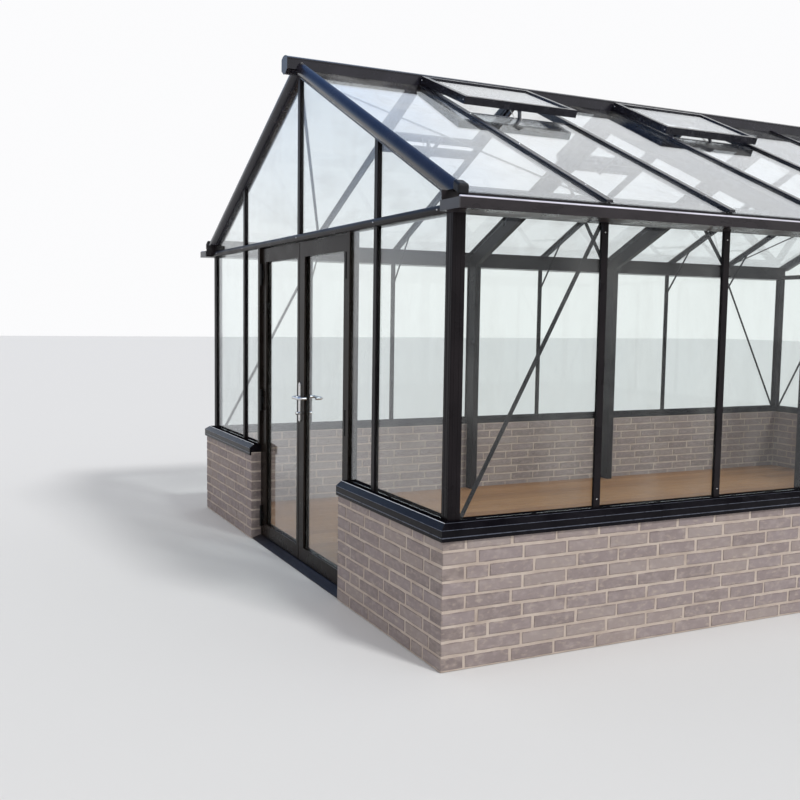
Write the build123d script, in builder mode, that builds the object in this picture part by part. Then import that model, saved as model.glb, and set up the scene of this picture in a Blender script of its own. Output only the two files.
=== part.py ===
from build123d import *
import os
from math import cos, hypot, radians, sin, tan

# Glass greenhouse on a brick dwarf wall, in millimetres.
# +X is the right long wall, -Y the door gable, +Z up; the origin is on the ground under the middle.

os.makedirs("parts", exist_ok=True)

# Layout of the frame
MODULE = 750.0            # spacing of the glazing lines
SIDE_BAYS = 8
GABLE_BAYS = 5
LINE_INSET = 99.0         # outermost glazing line, in from the brick face
FRAME_INSET = 47.0        # outer face of posts and mullions, in from the brick face
SEAT = 0.3                # running clearance between glass and metal
PANE_PLAY = 0.5           # between the edge of a pane and the metal beside it

# Brick dwarf wall
COURSE = 66.7
COURSES = 9
WALL_T = 108.0
DOOR_REVEAL = 1572.0      # clear width between the two front brick piers

# Sill profile
SILL_LIP = 14.0           # how far the drip stands out of the brick face
SILL_SKIRT_GAP = 2.0
SILL_DROP = 20.0          # how far the drip hangs over the top course
SILL_FACE = 32.0          # height of the upright face above the brick
SILL_CHAMFER = 30.0
SILL_RISE = 55.0          # top of the sill above the brick
RIB_W = 3.0
RIB_H = 3.0
RIB_PITCH = 10.0
RIB_START = 6.0           # first rib, in from the top of the chamfer
RIBS = 3

# Posts and mullions
POST = 61.0
REBATE = 12.0
CAP_T = 12.0              # thickness of the outer cap, in front of the glass
CAP_W = 36.0
WEB_W = 14.0
MULLION_DEPTH = 30.0
POST_ROUND = 8.0
GLASS_T = 4.0

# Eaves, beam and gutter
BEAM_Z = 1990.0           # underside of eaves beams and gable cross beams
GABLE_BEAM_H = 41.0
GABLE_BEAM_NOSE = 14.0
GUTTER_W = 166.0
GUTTER_H = 45.0
GUTTER_WALL = 5.0
GUTTER_LIP = 12.0
GUTTER_BACK_H = 89.0      # the back wall rises as a fascia to just under the glass
GUTTER_OVERRUN = 60.0     # past the gable frame face
GUTTER_END_T = 6.0

# Roof
PITCH = 25.5
EAVE_GLASS_Z = 2090.0     # top of the roof glass over the frame face
EAVE_OVERHANG = 25.0
RIDGE_TOP = 60.0          # crown of the ridge above the apex of the glass
RIDGE_HALF = 49.0
RIDGE_SHOULDER = 16.0
RIDGE_LIP = 3.0           # the crown's edge stands out over the ridge's side
RIDGE_LIP_H = 8.0
RIDGE_GLASS_LAP = 26.0    # the glass runs this far into the ridge's side
RIDGE_GLASS_PLAY = 1.0
RIDGE_SKIRT_INSET = 4.0
RIDGE_FOOT_HALF = 15.0
RIDGE_DROP = 44.0         # foot of the ridge below the apex of the glass
RIDGE_OVERRUN = 93.0      # past the gable frame face
RIDGE_END_T = 5.0
RIDGE_END_LIP = 1.5
BAR_CAP_W = 36.0
BAR_CAP_H = 12.0
BAR_WEB_W = 14.0
BAR_DEPTH = 34.0

# Gable rafters with their rounded barge
CHORD_DEPTH = 46.0
CHORD_W = 45.0
BARGE_TOP = 40.0
BARGE_DROP = 40.0
BARGE_FRONT = 34.0
BARGE_FLANGE = 25.0
BARGE_FLANGE_T = 6.0
BARGE_BACK = 6.0
BARGE_REACH = 103.0       # how far the barge runs out past the frame face
BARGE_FOOT_LENGTH = 30.0  # cap over the foot of the barge
BARGE_FOOT_PROUD = 1.5
BARGE_FOOT_PAST = 4.0

# Portal frames and braces
PORTAL_W = 52.0
PORTAL_POST = 100.0
PORTAL_RAFTER = 100.0
KNEE_DROP = 170.0
KNEE_REACH = 250.0
KNEE_W = 30.0
KNEE_T = 5.0
STRAP_W = 20.0
STRAP_T = 4.0
STRAP_CORNER = 80.0       # foot of a wall strap, in from the corner of the frame
ROOF_STRAP_HEAD = 110.0   # head of a roof strap, down the slope from the apex
ROOF_STRAP_BACK = 110.0   # foot of a roof strap, up the slope from the eaves beam

# Roof vents
VENT_OPEN_NEAR = 3.0      # degrees that the first pair of vents stands open
VENT_OPEN_FAR = 0.5
VENT_LENGTH = 608.0
VENT_SIDE_LAP = 18.0
VENT_DEPTH = 45.0
VENT_BAR = 34.0
VENT_HINGE_GAP = 0.3
VENT_LIFT = 2.0
VENT_GLASS_DROP = 8.0
VENT_SILL_DEPTH = 38.0
VENT_SILL_W = 34.0
VENT_SILL_PAST = 7.0      # vent sill's face, out from the free edge of the vent
OPENER_R = 12.0
OPENER_LENGTH = 200.0
OPENER_ARM_W = 12.0
OPENER_FOOT = 24.0
OPENER_BRACKET_W = 50.0

# Doors
DOOR_INSET = 66.0         # front of the leaves, in from the brick face
JAMB_W = 40.0
JAMB_CAP_W = 35.0
JAMB_CAP_LAP = 12.0       # of the jamb's cap over the side light
LEAF_T = 40.0
LEAF_GAP = 5.0            # between leaf and jamb
MEETING_GAP = 9.0         # between the two leaves
MEETING_BAND = 125.0      # both meeting stiles with their gap, centred on the doorway
LOCK_STILE = 82.5         # the right leaf's meeting stile, wide enough for the lock plate
HINGE_STILE = 64.0
TOP_RAIL = 89.0
BOTTOM_RAIL = 85.0
LEAF_RISE = 6.0
LEAF_HEAD_GAP = 6.0
THRESHOLD_H = 25.0
THRESHOLD_TOE = 4.0
THRESHOLD_SETBACK = 6.0
HINGE_R = 8.0
HINGE_PIN_R = 4.0
HINGE_PIN_PLAY = 0.1
HINGE_H = 144.0
HINGE_KNUCKLE_GAP = 0.4
HINGE_PLATE_T = 5.0
HINGE_PLATE_W = 28.0
JAMB_PLATE_W = 16.0
HINGE_HEIGHTS = (165.0, 965.0, 1815.0)
LEVER_Z = 1045.0
LEVER_R = 9.0
LEVER_STAND = 52.0
LEVER_ARM = 126.0
LEVER_RETURN = 41.0
LEVER_BEND = 16.0
SPINDLE_R = 5.0
SPINDLE_PLAY = 0.4
PLATE_W = 36.0
PLATE_T = 8.0
PLATE_H = 240.0
PLATE_RISE = 90.0         # top of the plate above the lever
PLATE_MARGIN = 5.0        # from the edge of the lock stile to the plate
LOCK_DROP = 100.0
LOCK_R = 9.0
LOCK_STAND = 24.0

# Floor
FLOOR_T = 25.0

# Values worked out from the sizes above
HALF_W = GABLE_BAYS * MODULE / 2 + LINE_INSET
HALF_L = SIDE_BAYS * MODULE / 2 + LINE_INSET
FRAME_X = HALF_W - FRAME_INSET
FRAME_Y = HALF_L - FRAME_INSET
WALL_H = COURSE * COURSES
SILL_TOP = WALL_H + SILL_RISE
GLASS_IN = FRAME_INSET + CAP_T + SEAT
SLOPE_TAN = tan(radians(PITCH))
SLOPE_COS = cos(radians(PITCH))
SLOPE_SIN = sin(radians(PITCH))
APEX_Z = EAVE_GLASS_Z + FRAME_X * SLOPE_TAN
BEAM_IN_X = FRAME_X - POST
BEAM_IN_Y = FRAME_Y - POST
MULLION_IN_X = FRAME_X - MULLION_DEPTH
MULLION_IN_Y = FRAME_Y - MULLION_DEPTH
RIDGE_SIDE = RIDGE_HALF - RIDGE_LIP
RIDGE_WEB_HALF = RIDGE_SIDE - RIDGE_GLASS_LAP
RIDGE_SKIRT_HALF = RIDGE_SIDE - RIDGE_SKIRT_INSET
side_lines = [-HALF_L + LINE_INSET + MODULE * n for n in range(1, SIDE_BAYS)]
portal_lines = [side_lines[SIDE_BAYS // 2 - 2], side_lines[SIDE_BAYS // 2]]
vent_bays = {SIDE_BAYS // 4: VENT_OPEN_NEAR, SIDE_BAYS // 2: VENT_OPEN_FAR}
HALF_REVEAL = DOOR_REVEAL / 2


def slope_z(x, q):
    """Height at x of a line q square above the roof glass, on the right slope."""
    return APEX_Z - x * SLOPE_TAN + q / SLOPE_COS


def slope_x(z, q):
    """The x at which the line q square above the roof glass comes down to height z."""
    return (APEX_Z + q / SLOPE_COS - z) / SLOPE_TAN


def slope_section(y, s):
    """A plane square to the right slope, s down from the apex; its own y is q."""
    apex = Plane(origin=(0, y, APEX_Z), x_dir=(0, 1, 0), z_dir=(SLOPE_COS, 0, -SLOPE_SIN))
    return apex.offset(s)


def slope_plane(q):
    """A plane on the right slope, q square above the glass; its own y runs up the slope."""
    return Plane(origin=(0, 0, APEX_Z), x_dir=(0, 1, 0), z_dir=(SLOPE_SIN, 0, SLOPE_COS)).offset(q)


def strap(low, high, swapped=False):
    """Outline of a flat strap with level ends; swapped takes and gives the pairs the other way round."""
    run = high[0] - low[0]
    rise = high[1] - low[1]
    half = STRAP_W / 2 * hypot(run, rise) / rise
    outline = [(low[0] - half, low[1]), (low[0] + half, low[1]), (high[0] + half, high[1]), (high[0] - half, high[1])]
    return [(b, a) for a, b in outline] if swapped else outline


def save(piece, name):
    piece.part.label = name
    export_step(piece.part, f"parts/{name}.step")


def twin(source, name, plane):
    with BuildPart() as copy:
        mirror(source.part, about=plane)
    save(copy, name)
    return copy


# Brick dwarf wall, one plain mass of masonry a side
with BuildPart() as side_brick_walls:
    with BuildSketch(Plane.XY):
        with Locations((HALF_W - WALL_T / 2, 0)):
            Rectangle(WALL_T, 2 * HALF_L)
        mirror(about=Plane.YZ)
    extrude(amount=WALL_H)
save(side_brick_walls, "side_brick_walls")

with BuildPart() as back_brick_wall:
    with BuildSketch(Plane.XY):
        with Locations((0, HALF_L - WALL_T / 2)):
            Rectangle(2 * (HALF_W - WALL_T), WALL_T)
    extrude(amount=WALL_H)
save(back_brick_wall, "back_brick_wall")

with BuildPart() as front_brick_walls:
    with BuildSketch(Plane.XY):
        with Locations(((HALF_REVEAL + HALF_W - WALL_T) / 2, -HALF_L + WALL_T / 2)):
            Rectangle(HALF_W - WALL_T - HALF_REVEAL, WALL_T)
        mirror(about=Plane.YZ)
    extrude(amount=WALL_H)
save(front_brick_walls, "front_brick_walls")


# Sill profile: skirt, upright face, chamfer and ribbed top, as a list of (out, z) points
def sill_points():
    inner = -FRAME_INSET - POST
    chamfer_x = SILL_LIP - SILL_CHAMFER
    points = [
        (inner, WALL_H),
        (SILL_SKIRT_GAP, WALL_H),
        (SILL_SKIRT_GAP, WALL_H - SILL_DROP),
        (SILL_LIP, WALL_H - SILL_DROP),
        (SILL_LIP, WALL_H + SILL_FACE),
        (chamfer_x, SILL_TOP),
    ]
    for n in range(RIBS):
        start = chamfer_x - RIB_START - RIB_PITCH * n
        points.append((start, SILL_TOP))
        points.append((start, SILL_TOP + RIB_H))
        points.append((start - RIB_W, SILL_TOP + RIB_H))
        points.append((start - RIB_W, SILL_TOP))
    points.append((inner, SILL_TOP))
    return points


def mitre_prism(reach, depth):
    """Plan of one side's sill, cut at 45 degrees at both corners."""
    outer = SILL_LIP
    inner = -FRAME_INSET - POST
    return [
        (reach + outer, -depth - outer),
        (reach + outer, depth + outer),
        (reach + inner, depth + inner),
        (reach + inner, -depth - inner),
    ]


with BuildPart() as side_sills:
    with BuildSketch(Plane.XZ.offset(-HALF_L - SILL_LIP)):
        with BuildLine():
            Polyline([(HALF_W + out, z) for out, z in sill_points()], close=True)
        make_face()
    extrude(amount=2 * (HALF_L + SILL_LIP))
    with BuildSketch(Plane.XY.offset(WALL_H - SILL_DROP)):
        with BuildLine():
            Polyline(mitre_prism(HALF_W, HALF_L), close=True)
        make_face()
    extrude(amount=SILL_DROP + SILL_RISE + RIB_H, mode=Mode.INTERSECT)
    mirror(about=Plane.YZ)
save(side_sills, "side_sills")

with BuildPart() as back_sill:
    with BuildSketch(Plane.YZ.offset(-HALF_W - SILL_LIP)):
        with BuildLine():
            Polyline([(HALF_L + out, z) for out, z in sill_points()], close=True)
        make_face()
    extrude(amount=2 * (HALF_W + SILL_LIP))
    with BuildSketch(Plane.XY.offset(WALL_H - SILL_DROP)):
        with BuildLine():
            Polyline([(y, x) for x, y in mitre_prism(HALF_L, HALF_W)], close=True)
        make_face()
    extrude(amount=SILL_DROP + SILL_RISE + RIB_H, mode=Mode.INTERSECT)
save(back_sill, "back_sill")

with BuildPart() as front_sills:
    mirror(back_sill.part, about=Plane.XZ)
    with BuildSketch(Plane.XY):
        with Locations((0, -HALF_L)):
            Rectangle(DOOR_REVEAL, HALF_L)
    extrude(amount=SILL_TOP + RIB_H, mode=Mode.SUBTRACT)
save(front_sills, "front_sills")

# Corner posts, rebated on both inner edges for the glass
with BuildPart() as corner_posts:
    with BuildSketch(Plane.XY.offset(SILL_TOP)):
        with BuildLine():
            Polyline(
                (FRAME_X, FRAME_Y),
                (FRAME_X - POST, FRAME_Y),
                (FRAME_X - POST, FRAME_Y - CAP_T),
                (FRAME_X - POST + REBATE, FRAME_Y - CAP_T),
                (FRAME_X - POST + REBATE, FRAME_Y - POST + REBATE),
                (FRAME_X - CAP_T, FRAME_Y - POST + REBATE),
                (FRAME_X - CAP_T, FRAME_Y - POST),
                (FRAME_X, FRAME_Y - POST),
                close=True,
            )
        make_face()
        fillet(vertices().sort_by(SortBy.DISTANCE)[-1], POST_ROUND)
        mirror(about=Plane.YZ)
        mirror(about=Plane.XZ)
    extrude(amount=BEAM_Z - SILL_TOP)
save(corner_posts, "corner_posts")


# Mullion section: a flat cap outside the glass and a web inside it, centred on its line
def mullion_points():
    cap = CAP_W / 2
    web = WEB_W / 2
    return [
        (-cap, 0),
        (cap, 0),
        (cap, -CAP_T),
        (web, -CAP_T),
        (web, -MULLION_DEPTH),
        (-web, -MULLION_DEPTH),
        (-web, -CAP_T),
        (-cap, -CAP_T),
    ]


with BuildPart() as side_mullions:
    with BuildSketch(Plane.XY.offset(SILL_TOP)):
        for line in side_lines:
            with BuildLine():
                Polyline([(FRAME_X + depth, line + w) for w, depth in mullion_points()], close=True)
            make_face()
        mirror(about=Plane.YZ)
    extrude(amount=BEAM_Z - SILL_TOP)
save(side_mullions, "side_mullions")

GABLE_LINE = (GABLE_BAYS / 2 - 1) * MODULE
BACK_INNER_LINE = MODULE / 2

with BuildPart() as gable_wall_mullions:
    with BuildSketch(Plane.XY.offset(SILL_TOP)):
        for line in (-GABLE_LINE, -BACK_INNER_LINE, BACK_INNER_LINE, GABLE_LINE):
            with BuildLine():
                Polyline([(line + w, FRAME_Y + depth) for w, depth in mullion_points()], close=True)
            make_face()
        for line in (-GABLE_LINE, GABLE_LINE):
            with BuildLine():
                Polyline([(line + w, -FRAME_Y - depth) for w, depth in mullion_points()], close=True)
            make_face()
    extrude(amount=BEAM_Z - SILL_TOP)
save(gable_wall_mullions, "gable_wall_mullions")

# Gable cross beams with a rounded nose
with BuildPart() as gable_beams:
    with BuildSketch(Plane.YZ.offset(-BEAM_IN_X)):
        with BuildLine():
            Polyline(
                (-FRAME_Y, BEAM_Z + GABLE_BEAM_H),
                (-BEAM_IN_Y, BEAM_Z + GABLE_BEAM_H),
                (-BEAM_IN_Y, BEAM_Z),
                (-FRAME_Y, BEAM_Z),
                close=True,
            )
        make_face()
    extrude(amount=2 * BEAM_IN_X)
    with BuildSketch(Plane.YZ.offset(-FRAME_X)):
        with BuildLine():
            Line((-FRAME_Y, BEAM_Z + GABLE_BEAM_H), (-FRAME_Y, BEAM_Z))
            ThreePointArc(
                (-FRAME_Y, BEAM_Z),
                (-FRAME_Y - GABLE_BEAM_NOSE, BEAM_Z + GABLE_BEAM_H / 2),
                (-FRAME_Y, BEAM_Z + GABLE_BEAM_H),
            )
        make_face()
    extrude(amount=2 * FRAME_X)
    mirror(about=Plane.XZ)
save(gable_beams, "gable_beams")

# Eaves beams, their tops on the roof slope
UNDER_GLASS = -GLASS_T - SEAT
with BuildPart() as eaves_beams:
    with BuildSketch(Plane.XZ.offset(-FRAME_Y)):
        with BuildLine():
            Polyline(
                (BEAM_IN_X, BEAM_Z),
                (FRAME_X, BEAM_Z),
                (FRAME_X, slope_z(FRAME_X, UNDER_GLASS)),
                (BEAM_IN_X, slope_z(BEAM_IN_X, UNDER_GLASS)),
                close=True,
            )
        make_face()
        mirror(about=Plane.YZ)
    extrude(amount=2 * FRAME_Y)
save(eaves_beams, "eaves_beams")

# Box gutters hung on the eaves beams
GUTTER_END_Y = FRAME_Y + GUTTER_OVERRUN
with BuildPart() as right_gutter:
    with BuildSketch(Plane.XZ.offset(-GUTTER_END_Y)):
        with BuildLine():
            Polyline(
                (FRAME_X, BEAM_Z),
                (FRAME_X + GUTTER_W, BEAM_Z),
                (FRAME_X + GUTTER_W, BEAM_Z + GUTTER_H),
                (FRAME_X + GUTTER_W - GUTTER_LIP, BEAM_Z + GUTTER_H),
                (FRAME_X + GUTTER_W - GUTTER_LIP, BEAM_Z + GUTTER_H - GUTTER_WALL),
                (FRAME_X + GUTTER_W - GUTTER_WALL, BEAM_Z + GUTTER_H - GUTTER_WALL),
                (FRAME_X + GUTTER_W - GUTTER_WALL, BEAM_Z + GUTTER_WALL),
                (FRAME_X + GUTTER_WALL, BEAM_Z + GUTTER_WALL),
                (FRAME_X + GUTTER_WALL, BEAM_Z + GUTTER_BACK_H),
                (FRAME_X, BEAM_Z + GUTTER_BACK_H),
                close=True,
            )
        make_face()
    extrude(amount=2 * GUTTER_END_Y)
save(right_gutter, "right_gutter")
left_gutter = twin(right_gutter, "left_gutter", Plane.YZ)

with BuildPart() as gutter_ends:
    with BuildSketch(Plane.XZ.offset(GUTTER_END_Y)):
        with Locations((FRAME_X, BEAM_Z)):
            Rectangle(GUTTER_W, GUTTER_H, align=(Align.MIN, Align.MIN))
        mirror(about=Plane.YZ)
    extrude(amount=GUTTER_END_T)
    mirror(about=Plane.XZ)
save(gutter_ends, "gutter_ends")


# Ridge: crowned cap, slots for the glass and a tapered skirt
def ridge_outline():
    def under(x):
        return slope_z(x, UNDER_GLASS)

    def over(x):
        return slope_z(x, SEAT)

    return [
        (RIDGE_HALF, RIDGE_EDGE_Z),
        (RIDGE_HALF, RIDGE_EDGE_Z - RIDGE_LIP_H),
        (RIDGE_SIDE, RIDGE_EDGE_Z - RIDGE_LIP_H),
        (RIDGE_SIDE, over(RIDGE_SIDE)),
        (RIDGE_WEB_HALF, over(RIDGE_WEB_HALF)),
        (RIDGE_WEB_HALF, under(RIDGE_WEB_HALF)),
        (RIDGE_SKIRT_HALF, under(RIDGE_SKIRT_HALF)),
        (RIDGE_FOOT_HALF, APEX_Z - RIDGE_DROP),
    ]


RIDGE_EDGE_Z = APEX_Z + RIDGE_TOP - RIDGE_SHOULDER
RIDGE_END_Y = FRAME_Y + RIDGE_OVERRUN - RIDGE_END_T
with BuildPart() as ridge:
    with BuildSketch(Plane.XZ.offset(-RIDGE_END_Y)):
        outline = ridge_outline()
        with BuildLine():
            Polyline(outline + [(-x, z) for x, z in reversed(outline)])
            ThreePointArc((-RIDGE_HALF, RIDGE_EDGE_Z), (0, APEX_Z + RIDGE_TOP), (RIDGE_HALF, RIDGE_EDGE_Z))
        make_face()
    extrude(amount=2 * RIDGE_END_Y)
save(ridge, "ridge")


def ridge_shadow(half_w, top):
    """The ridge's outline with straight sides up to a height."""
    side, skirt, foot = [ridge_outline()[n] for n in (3, 6, 7)]
    half = [(half_w, top), (half_w, side[1]), skirt, foot]
    return half + [(-x, z) for x, z in reversed(half)]


with BuildPart() as ridge_ends:
    with BuildSketch(Plane.XZ.offset(RIDGE_END_Y)):
        envelope = ridge_shadow(RIDGE_HALF, RIDGE_EDGE_Z)
        with BuildLine():
            Polyline(envelope)
            ThreePointArc(envelope[-1], (0, APEX_Z + RIDGE_TOP), envelope[0])
        make_face()
        offset(amount=RIDGE_END_LIP)
    extrude(amount=RIDGE_END_T)
    mirror(about=Plane.XZ)
save(ridge_ends, "ridge_ends")

# Roof glazing bars, with a flat diagonal strap under each end bay
BAR_END_X = FRAME_X + EAVE_OVERHANG
STRAP_HEAD_Y = -FRAME_Y + CHORD_W
STRAP_FOOT_Y = side_lines[0] + BAR_WEB_W / 2
STRAP_FOOT_S = BEAM_IN_X / SLOPE_COS - ROOF_STRAP_BACK
with BuildPart() as right_roof_bars:
    for line in side_lines:
        with BuildSketch(Plane.XZ.offset(-line - BAR_CAP_W / 2)):
            with BuildLine():
                Polyline(
                    (RIDGE_SIDE, slope_z(RIDGE_SIDE, SEAT)),
                    (BAR_END_X, slope_z(BAR_END_X, SEAT)),
                    (BAR_END_X, slope_z(BAR_END_X, BAR_CAP_H)),
                    (RIDGE_SIDE, slope_z(RIDGE_SIDE, BAR_CAP_H)),
                    close=True,
                )
            make_face()
        extrude(amount=BAR_CAP_W)
        with BuildSketch(Plane.XZ.offset(-line - BAR_WEB_W / 2)):
            with BuildLine():
                Polyline(
                    (RIDGE_SIDE, slope_z(RIDGE_SIDE, SEAT)),
                    (BEAM_IN_X, slope_z(BEAM_IN_X, SEAT)),
                    (BEAM_IN_X, slope_z(BEAM_IN_X, -BAR_DEPTH)),
                    (RIDGE_SIDE, slope_z(RIDGE_SIDE, -BAR_DEPTH)),
                    close=True,
                )
            make_face()
        extrude(amount=BAR_WEB_W)
    with BuildSketch(slope_plane(-BAR_DEPTH)):
        with BuildLine():
            Polyline(
                strap((-ROOF_STRAP_HEAD, STRAP_HEAD_Y), (-STRAP_FOOT_S, STRAP_FOOT_Y), swapped=True), close=True
            )
        make_face()
        mirror(about=Plane.YZ)
    extrude(amount=-STRAP_T)
save(right_roof_bars, "right_roof_bars")
left_roof_bars = twin(right_roof_bars, "left_roof_bars", Plane.YZ)

# Gable rafter: inner chord under the glass edge and the rounded barge in front
BARGE_END_X = FRAME_X + BARGE_REACH
BARGE_FOOT_Z = BEAM_Z + GUTTER_BACK_H
BARGE_RUN = (BARGE_END_X + 4 * POST) / SLOPE_COS


def barge_arc():
    return ThreePointArc((0, -BARGE_DROP), (-BARGE_FRONT, (BARGE_TOP - BARGE_DROP) / 2), (0, BARGE_TOP))


with BuildPart() as barge_foot:
    with BuildSketch(slope_section(-FRAME_Y, 0)):
        with BuildLine():
            Line((0, BARGE_TOP), (0, -BARGE_DROP))
            barge_arc()
        make_face()
        offset(amount=BARGE_FOOT_PROUD)
    extrude(amount=BARGE_RUN)
    with BuildSketch(Plane.XZ.offset(FRAME_Y + 2 * BARGE_FRONT)):
        with Locations((BARGE_END_X - BARGE_FOOT_LENGTH, BARGE_FOOT_Z)):
            Rectangle(BARGE_FOOT_LENGTH + BARGE_FOOT_PAST, 2 * POST, align=(Align.MIN, Align.MIN))
    extrude(amount=-2 * BARGE_FRONT, mode=Mode.INTERSECT)

with BuildPart() as right_gable_rafters:
    with BuildSketch(slope_section(-FRAME_Y, -2 * POST)):
        with BuildLine():
            Polyline(
                (0, BARGE_TOP),
                (0, BARGE_FLANGE_T),
                (BARGE_FLANGE, BARGE_FLANGE_T),
                (BARGE_FLANGE, SEAT),
                (BARGE_BACK, SEAT),
                (BARGE_BACK, UNDER_GLASS),
                (CHORD_W, UNDER_GLASS),
                (CHORD_W, UNDER_GLASS - CHORD_DEPTH),
                (0, UNDER_GLASS - CHORD_DEPTH),
                (0, -BARGE_DROP),
            )
            barge_arc()
        make_face()
    extrude(amount=BARGE_RUN)
    with BuildSketch(Plane.XZ.offset(FRAME_Y + BARGE_FRONT)):
        with BuildLine():
            Polyline(ridge_shadow(RIDGE_SIDE, APEX_Z + 4 * RIDGE_HALF), close=True)
        make_face()
        with Locations((0, APEX_Z - FRAME_X)):
            Rectangle(FRAME_X, 4 * FRAME_X, align=(Align.MAX, Align.CENTER))
        with Locations((BARGE_END_X, APEX_Z)):
            Rectangle(FRAME_X, 4 * FRAME_X, align=(Align.MIN, Align.CENTER))
        with Locations((BEAM_IN_X - POST, BARGE_FOOT_Z)):
            Rectangle(FRAME_X, FRAME_X, align=(Align.MIN, Align.MAX))
    extrude(amount=-BARGE_FRONT - CHORD_W, mode=Mode.SUBTRACT)
    with BuildSketch(Plane.XZ.offset(FRAME_Y)):
        with BuildLine():
            Polyline(
                (BEAM_IN_X, BEAM_Z),
                (BAR_END_X, BEAM_Z),
                (BAR_END_X, slope_z(BAR_END_X, UNDER_GLASS)),
                (BEAM_IN_X, slope_z(BEAM_IN_X, UNDER_GLASS)),
                close=True,
            )
        make_face()
        with Locations((BAR_END_X, APEX_Z)):
            Rectangle(FRAME_X, 4 * FRAME_X, align=(Align.MIN, Align.CENTER))
    extrude(amount=-CHORD_W, mode=Mode.SUBTRACT)
    add(barge_foot.part)
    mirror(about=Plane.XZ)
save(right_gable_rafters, "right_gable_rafters")
left_gable_rafters = twin(right_gable_rafters, "left_gable_rafters", Plane.YZ)

# Mullions of the gable triangles, their heads cut to the rafters
CHORD_Q = UNDER_GLASS - CHORD_DEPTH
GABLE_FOOT_Z = BEAM_Z + GABLE_BEAM_H
with BuildPart() as gable_head_mullions:
    with BuildSketch(Plane.XY.offset(GABLE_FOOT_Z)):
        for line in (-GABLE_LINE, 0, GABLE_LINE):
            with BuildLine():
                Polyline([(line + w, -FRAME_Y - depth) for w, depth in mullion_points()], close=True)
            make_face()
    extrude(amount=APEX_Z - GABLE_FOOT_Z)
    with BuildSketch(Plane.XZ.offset(FRAME_Y)):
        with BuildLine():
            Polyline(
                (0, slope_z(0, CHORD_Q)),
                (FRAME_X, slope_z(FRAME_X, CHORD_Q)),
                (FRAME_X, APEX_Z),
                (-FRAME_X, APEX_Z),
                (-FRAME_X, slope_z(FRAME_X, CHORD_Q)),
                close=True,
            )
        make_face()
    extrude(amount=-POST, mode=Mode.SUBTRACT)
    with BuildSketch(Plane.XZ.offset(FRAME_Y)):
        with BuildLine():
            Polyline(ridge_shadow(RIDGE_SIDE, APEX_Z + 4 * RIDGE_HALF), close=True)
        make_face()
    extrude(amount=-POST, mode=Mode.SUBTRACT)
    mirror(about=Plane.XZ)
save(gable_head_mullions, "gable_head_mullions")

# Wall glass, one pane a bay
PANE_EDGE = WEB_W / 2 + PANE_PLAY
CORNER_EDGE = POST - REBATE + PANE_PLAY
pane_stops = [-FRAME_Y + CORNER_EDGE] + side_lines + [FRAME_Y - CORNER_EDGE]
PANE_FOOT = SILL_TOP + SEAT
PANE_H = BEAM_Z - SILL_TOP - 2 * SEAT


def pane_span(stops, n, edge):
    low = stops[n] + (edge if n > 0 else 0)
    high = stops[n + 1] - (edge if n < len(stops) - 2 else 0)
    return low, high


with BuildPart() as side_wall_glass:
    with BuildSketch(Plane.XY.offset(PANE_FOOT)):
        for n in range(SIDE_BAYS):
            low, high = pane_span(pane_stops, n, PANE_EDGE)
            with Locations((HALF_W - GLASS_IN - GLASS_T / 2, (low + high) / 2)):
                Rectangle(GLASS_T, high - low)
        mirror(about=Plane.YZ)
    extrude(amount=PANE_H)
save(side_wall_glass, "side_wall_glass")

back_stops = [
    -FRAME_X + CORNER_EDGE,
    -GABLE_LINE,
    -BACK_INNER_LINE,
    BACK_INNER_LINE,
    GABLE_LINE,
    FRAME_X - CORNER_EDGE,
]
front_stops = [HALF_REVEAL + PANE_PLAY, GABLE_LINE, FRAME_X - CORNER_EDGE]


# Glass of a gable triangle: two panes a side, the outer one cut off at the eaves beam
def gable_panes():
    foot = GABLE_FOOT_Z + SEAT
    top = CHORD_Q - SEAT
    inner = GABLE_LINE - PANE_EDGE
    outer = GABLE_LINE + PANE_EDGE
    end = BEAM_IN_X - PANE_PLAY
    return [
        [(PANE_EDGE, foot), (inner, foot), (inner, slope_z(inner, top)), (PANE_EDGE, slope_z(PANE_EDGE, top))],
        [(outer, foot), (end, foot), (end, slope_z(end, top)), (outer, slope_z(outer, top))],
    ]


with BuildPart() as back_glass:
    with BuildSketch(Plane.XY.offset(PANE_FOOT)):
        for n in range(GABLE_BAYS):
            low, high = pane_span(back_stops, n, PANE_EDGE)
            with Locations(((low + high) / 2, HALF_L - GLASS_IN - GLASS_T / 2)):
                Rectangle(high - low, GLASS_T)
    extrude(amount=PANE_H)
    with BuildSketch(Plane.XZ.offset(-HALF_L + GLASS_IN)):
        for pane in gable_panes():
            with BuildLine():
                Polyline(pane, close=True)
            make_face()
        mirror(about=Plane.YZ)
    extrude(amount=GLASS_T)
save(back_glass, "back_glass")

with BuildPart() as front_glass:
    with BuildSketch(Plane.XY.offset(PANE_FOOT)):
        for n in range(2):
            low, high = pane_span(front_stops, n, PANE_EDGE)
            with Locations(((low + high) / 2, -HALF_L + GLASS_IN + GLASS_T / 2)):
                Rectangle(high - low, GLASS_T)
        mirror(about=Plane.YZ)
    extrude(amount=PANE_H)
    with BuildSketch(Plane.XZ.offset(HALF_L - GLASS_IN)):
        for pane in gable_panes():
            with BuildLine():
                Polyline(pane, close=True)
            make_face()
        mirror(about=Plane.YZ)
    extrude(amount=-GLASS_T)
save(front_glass, "front_glass")

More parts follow.
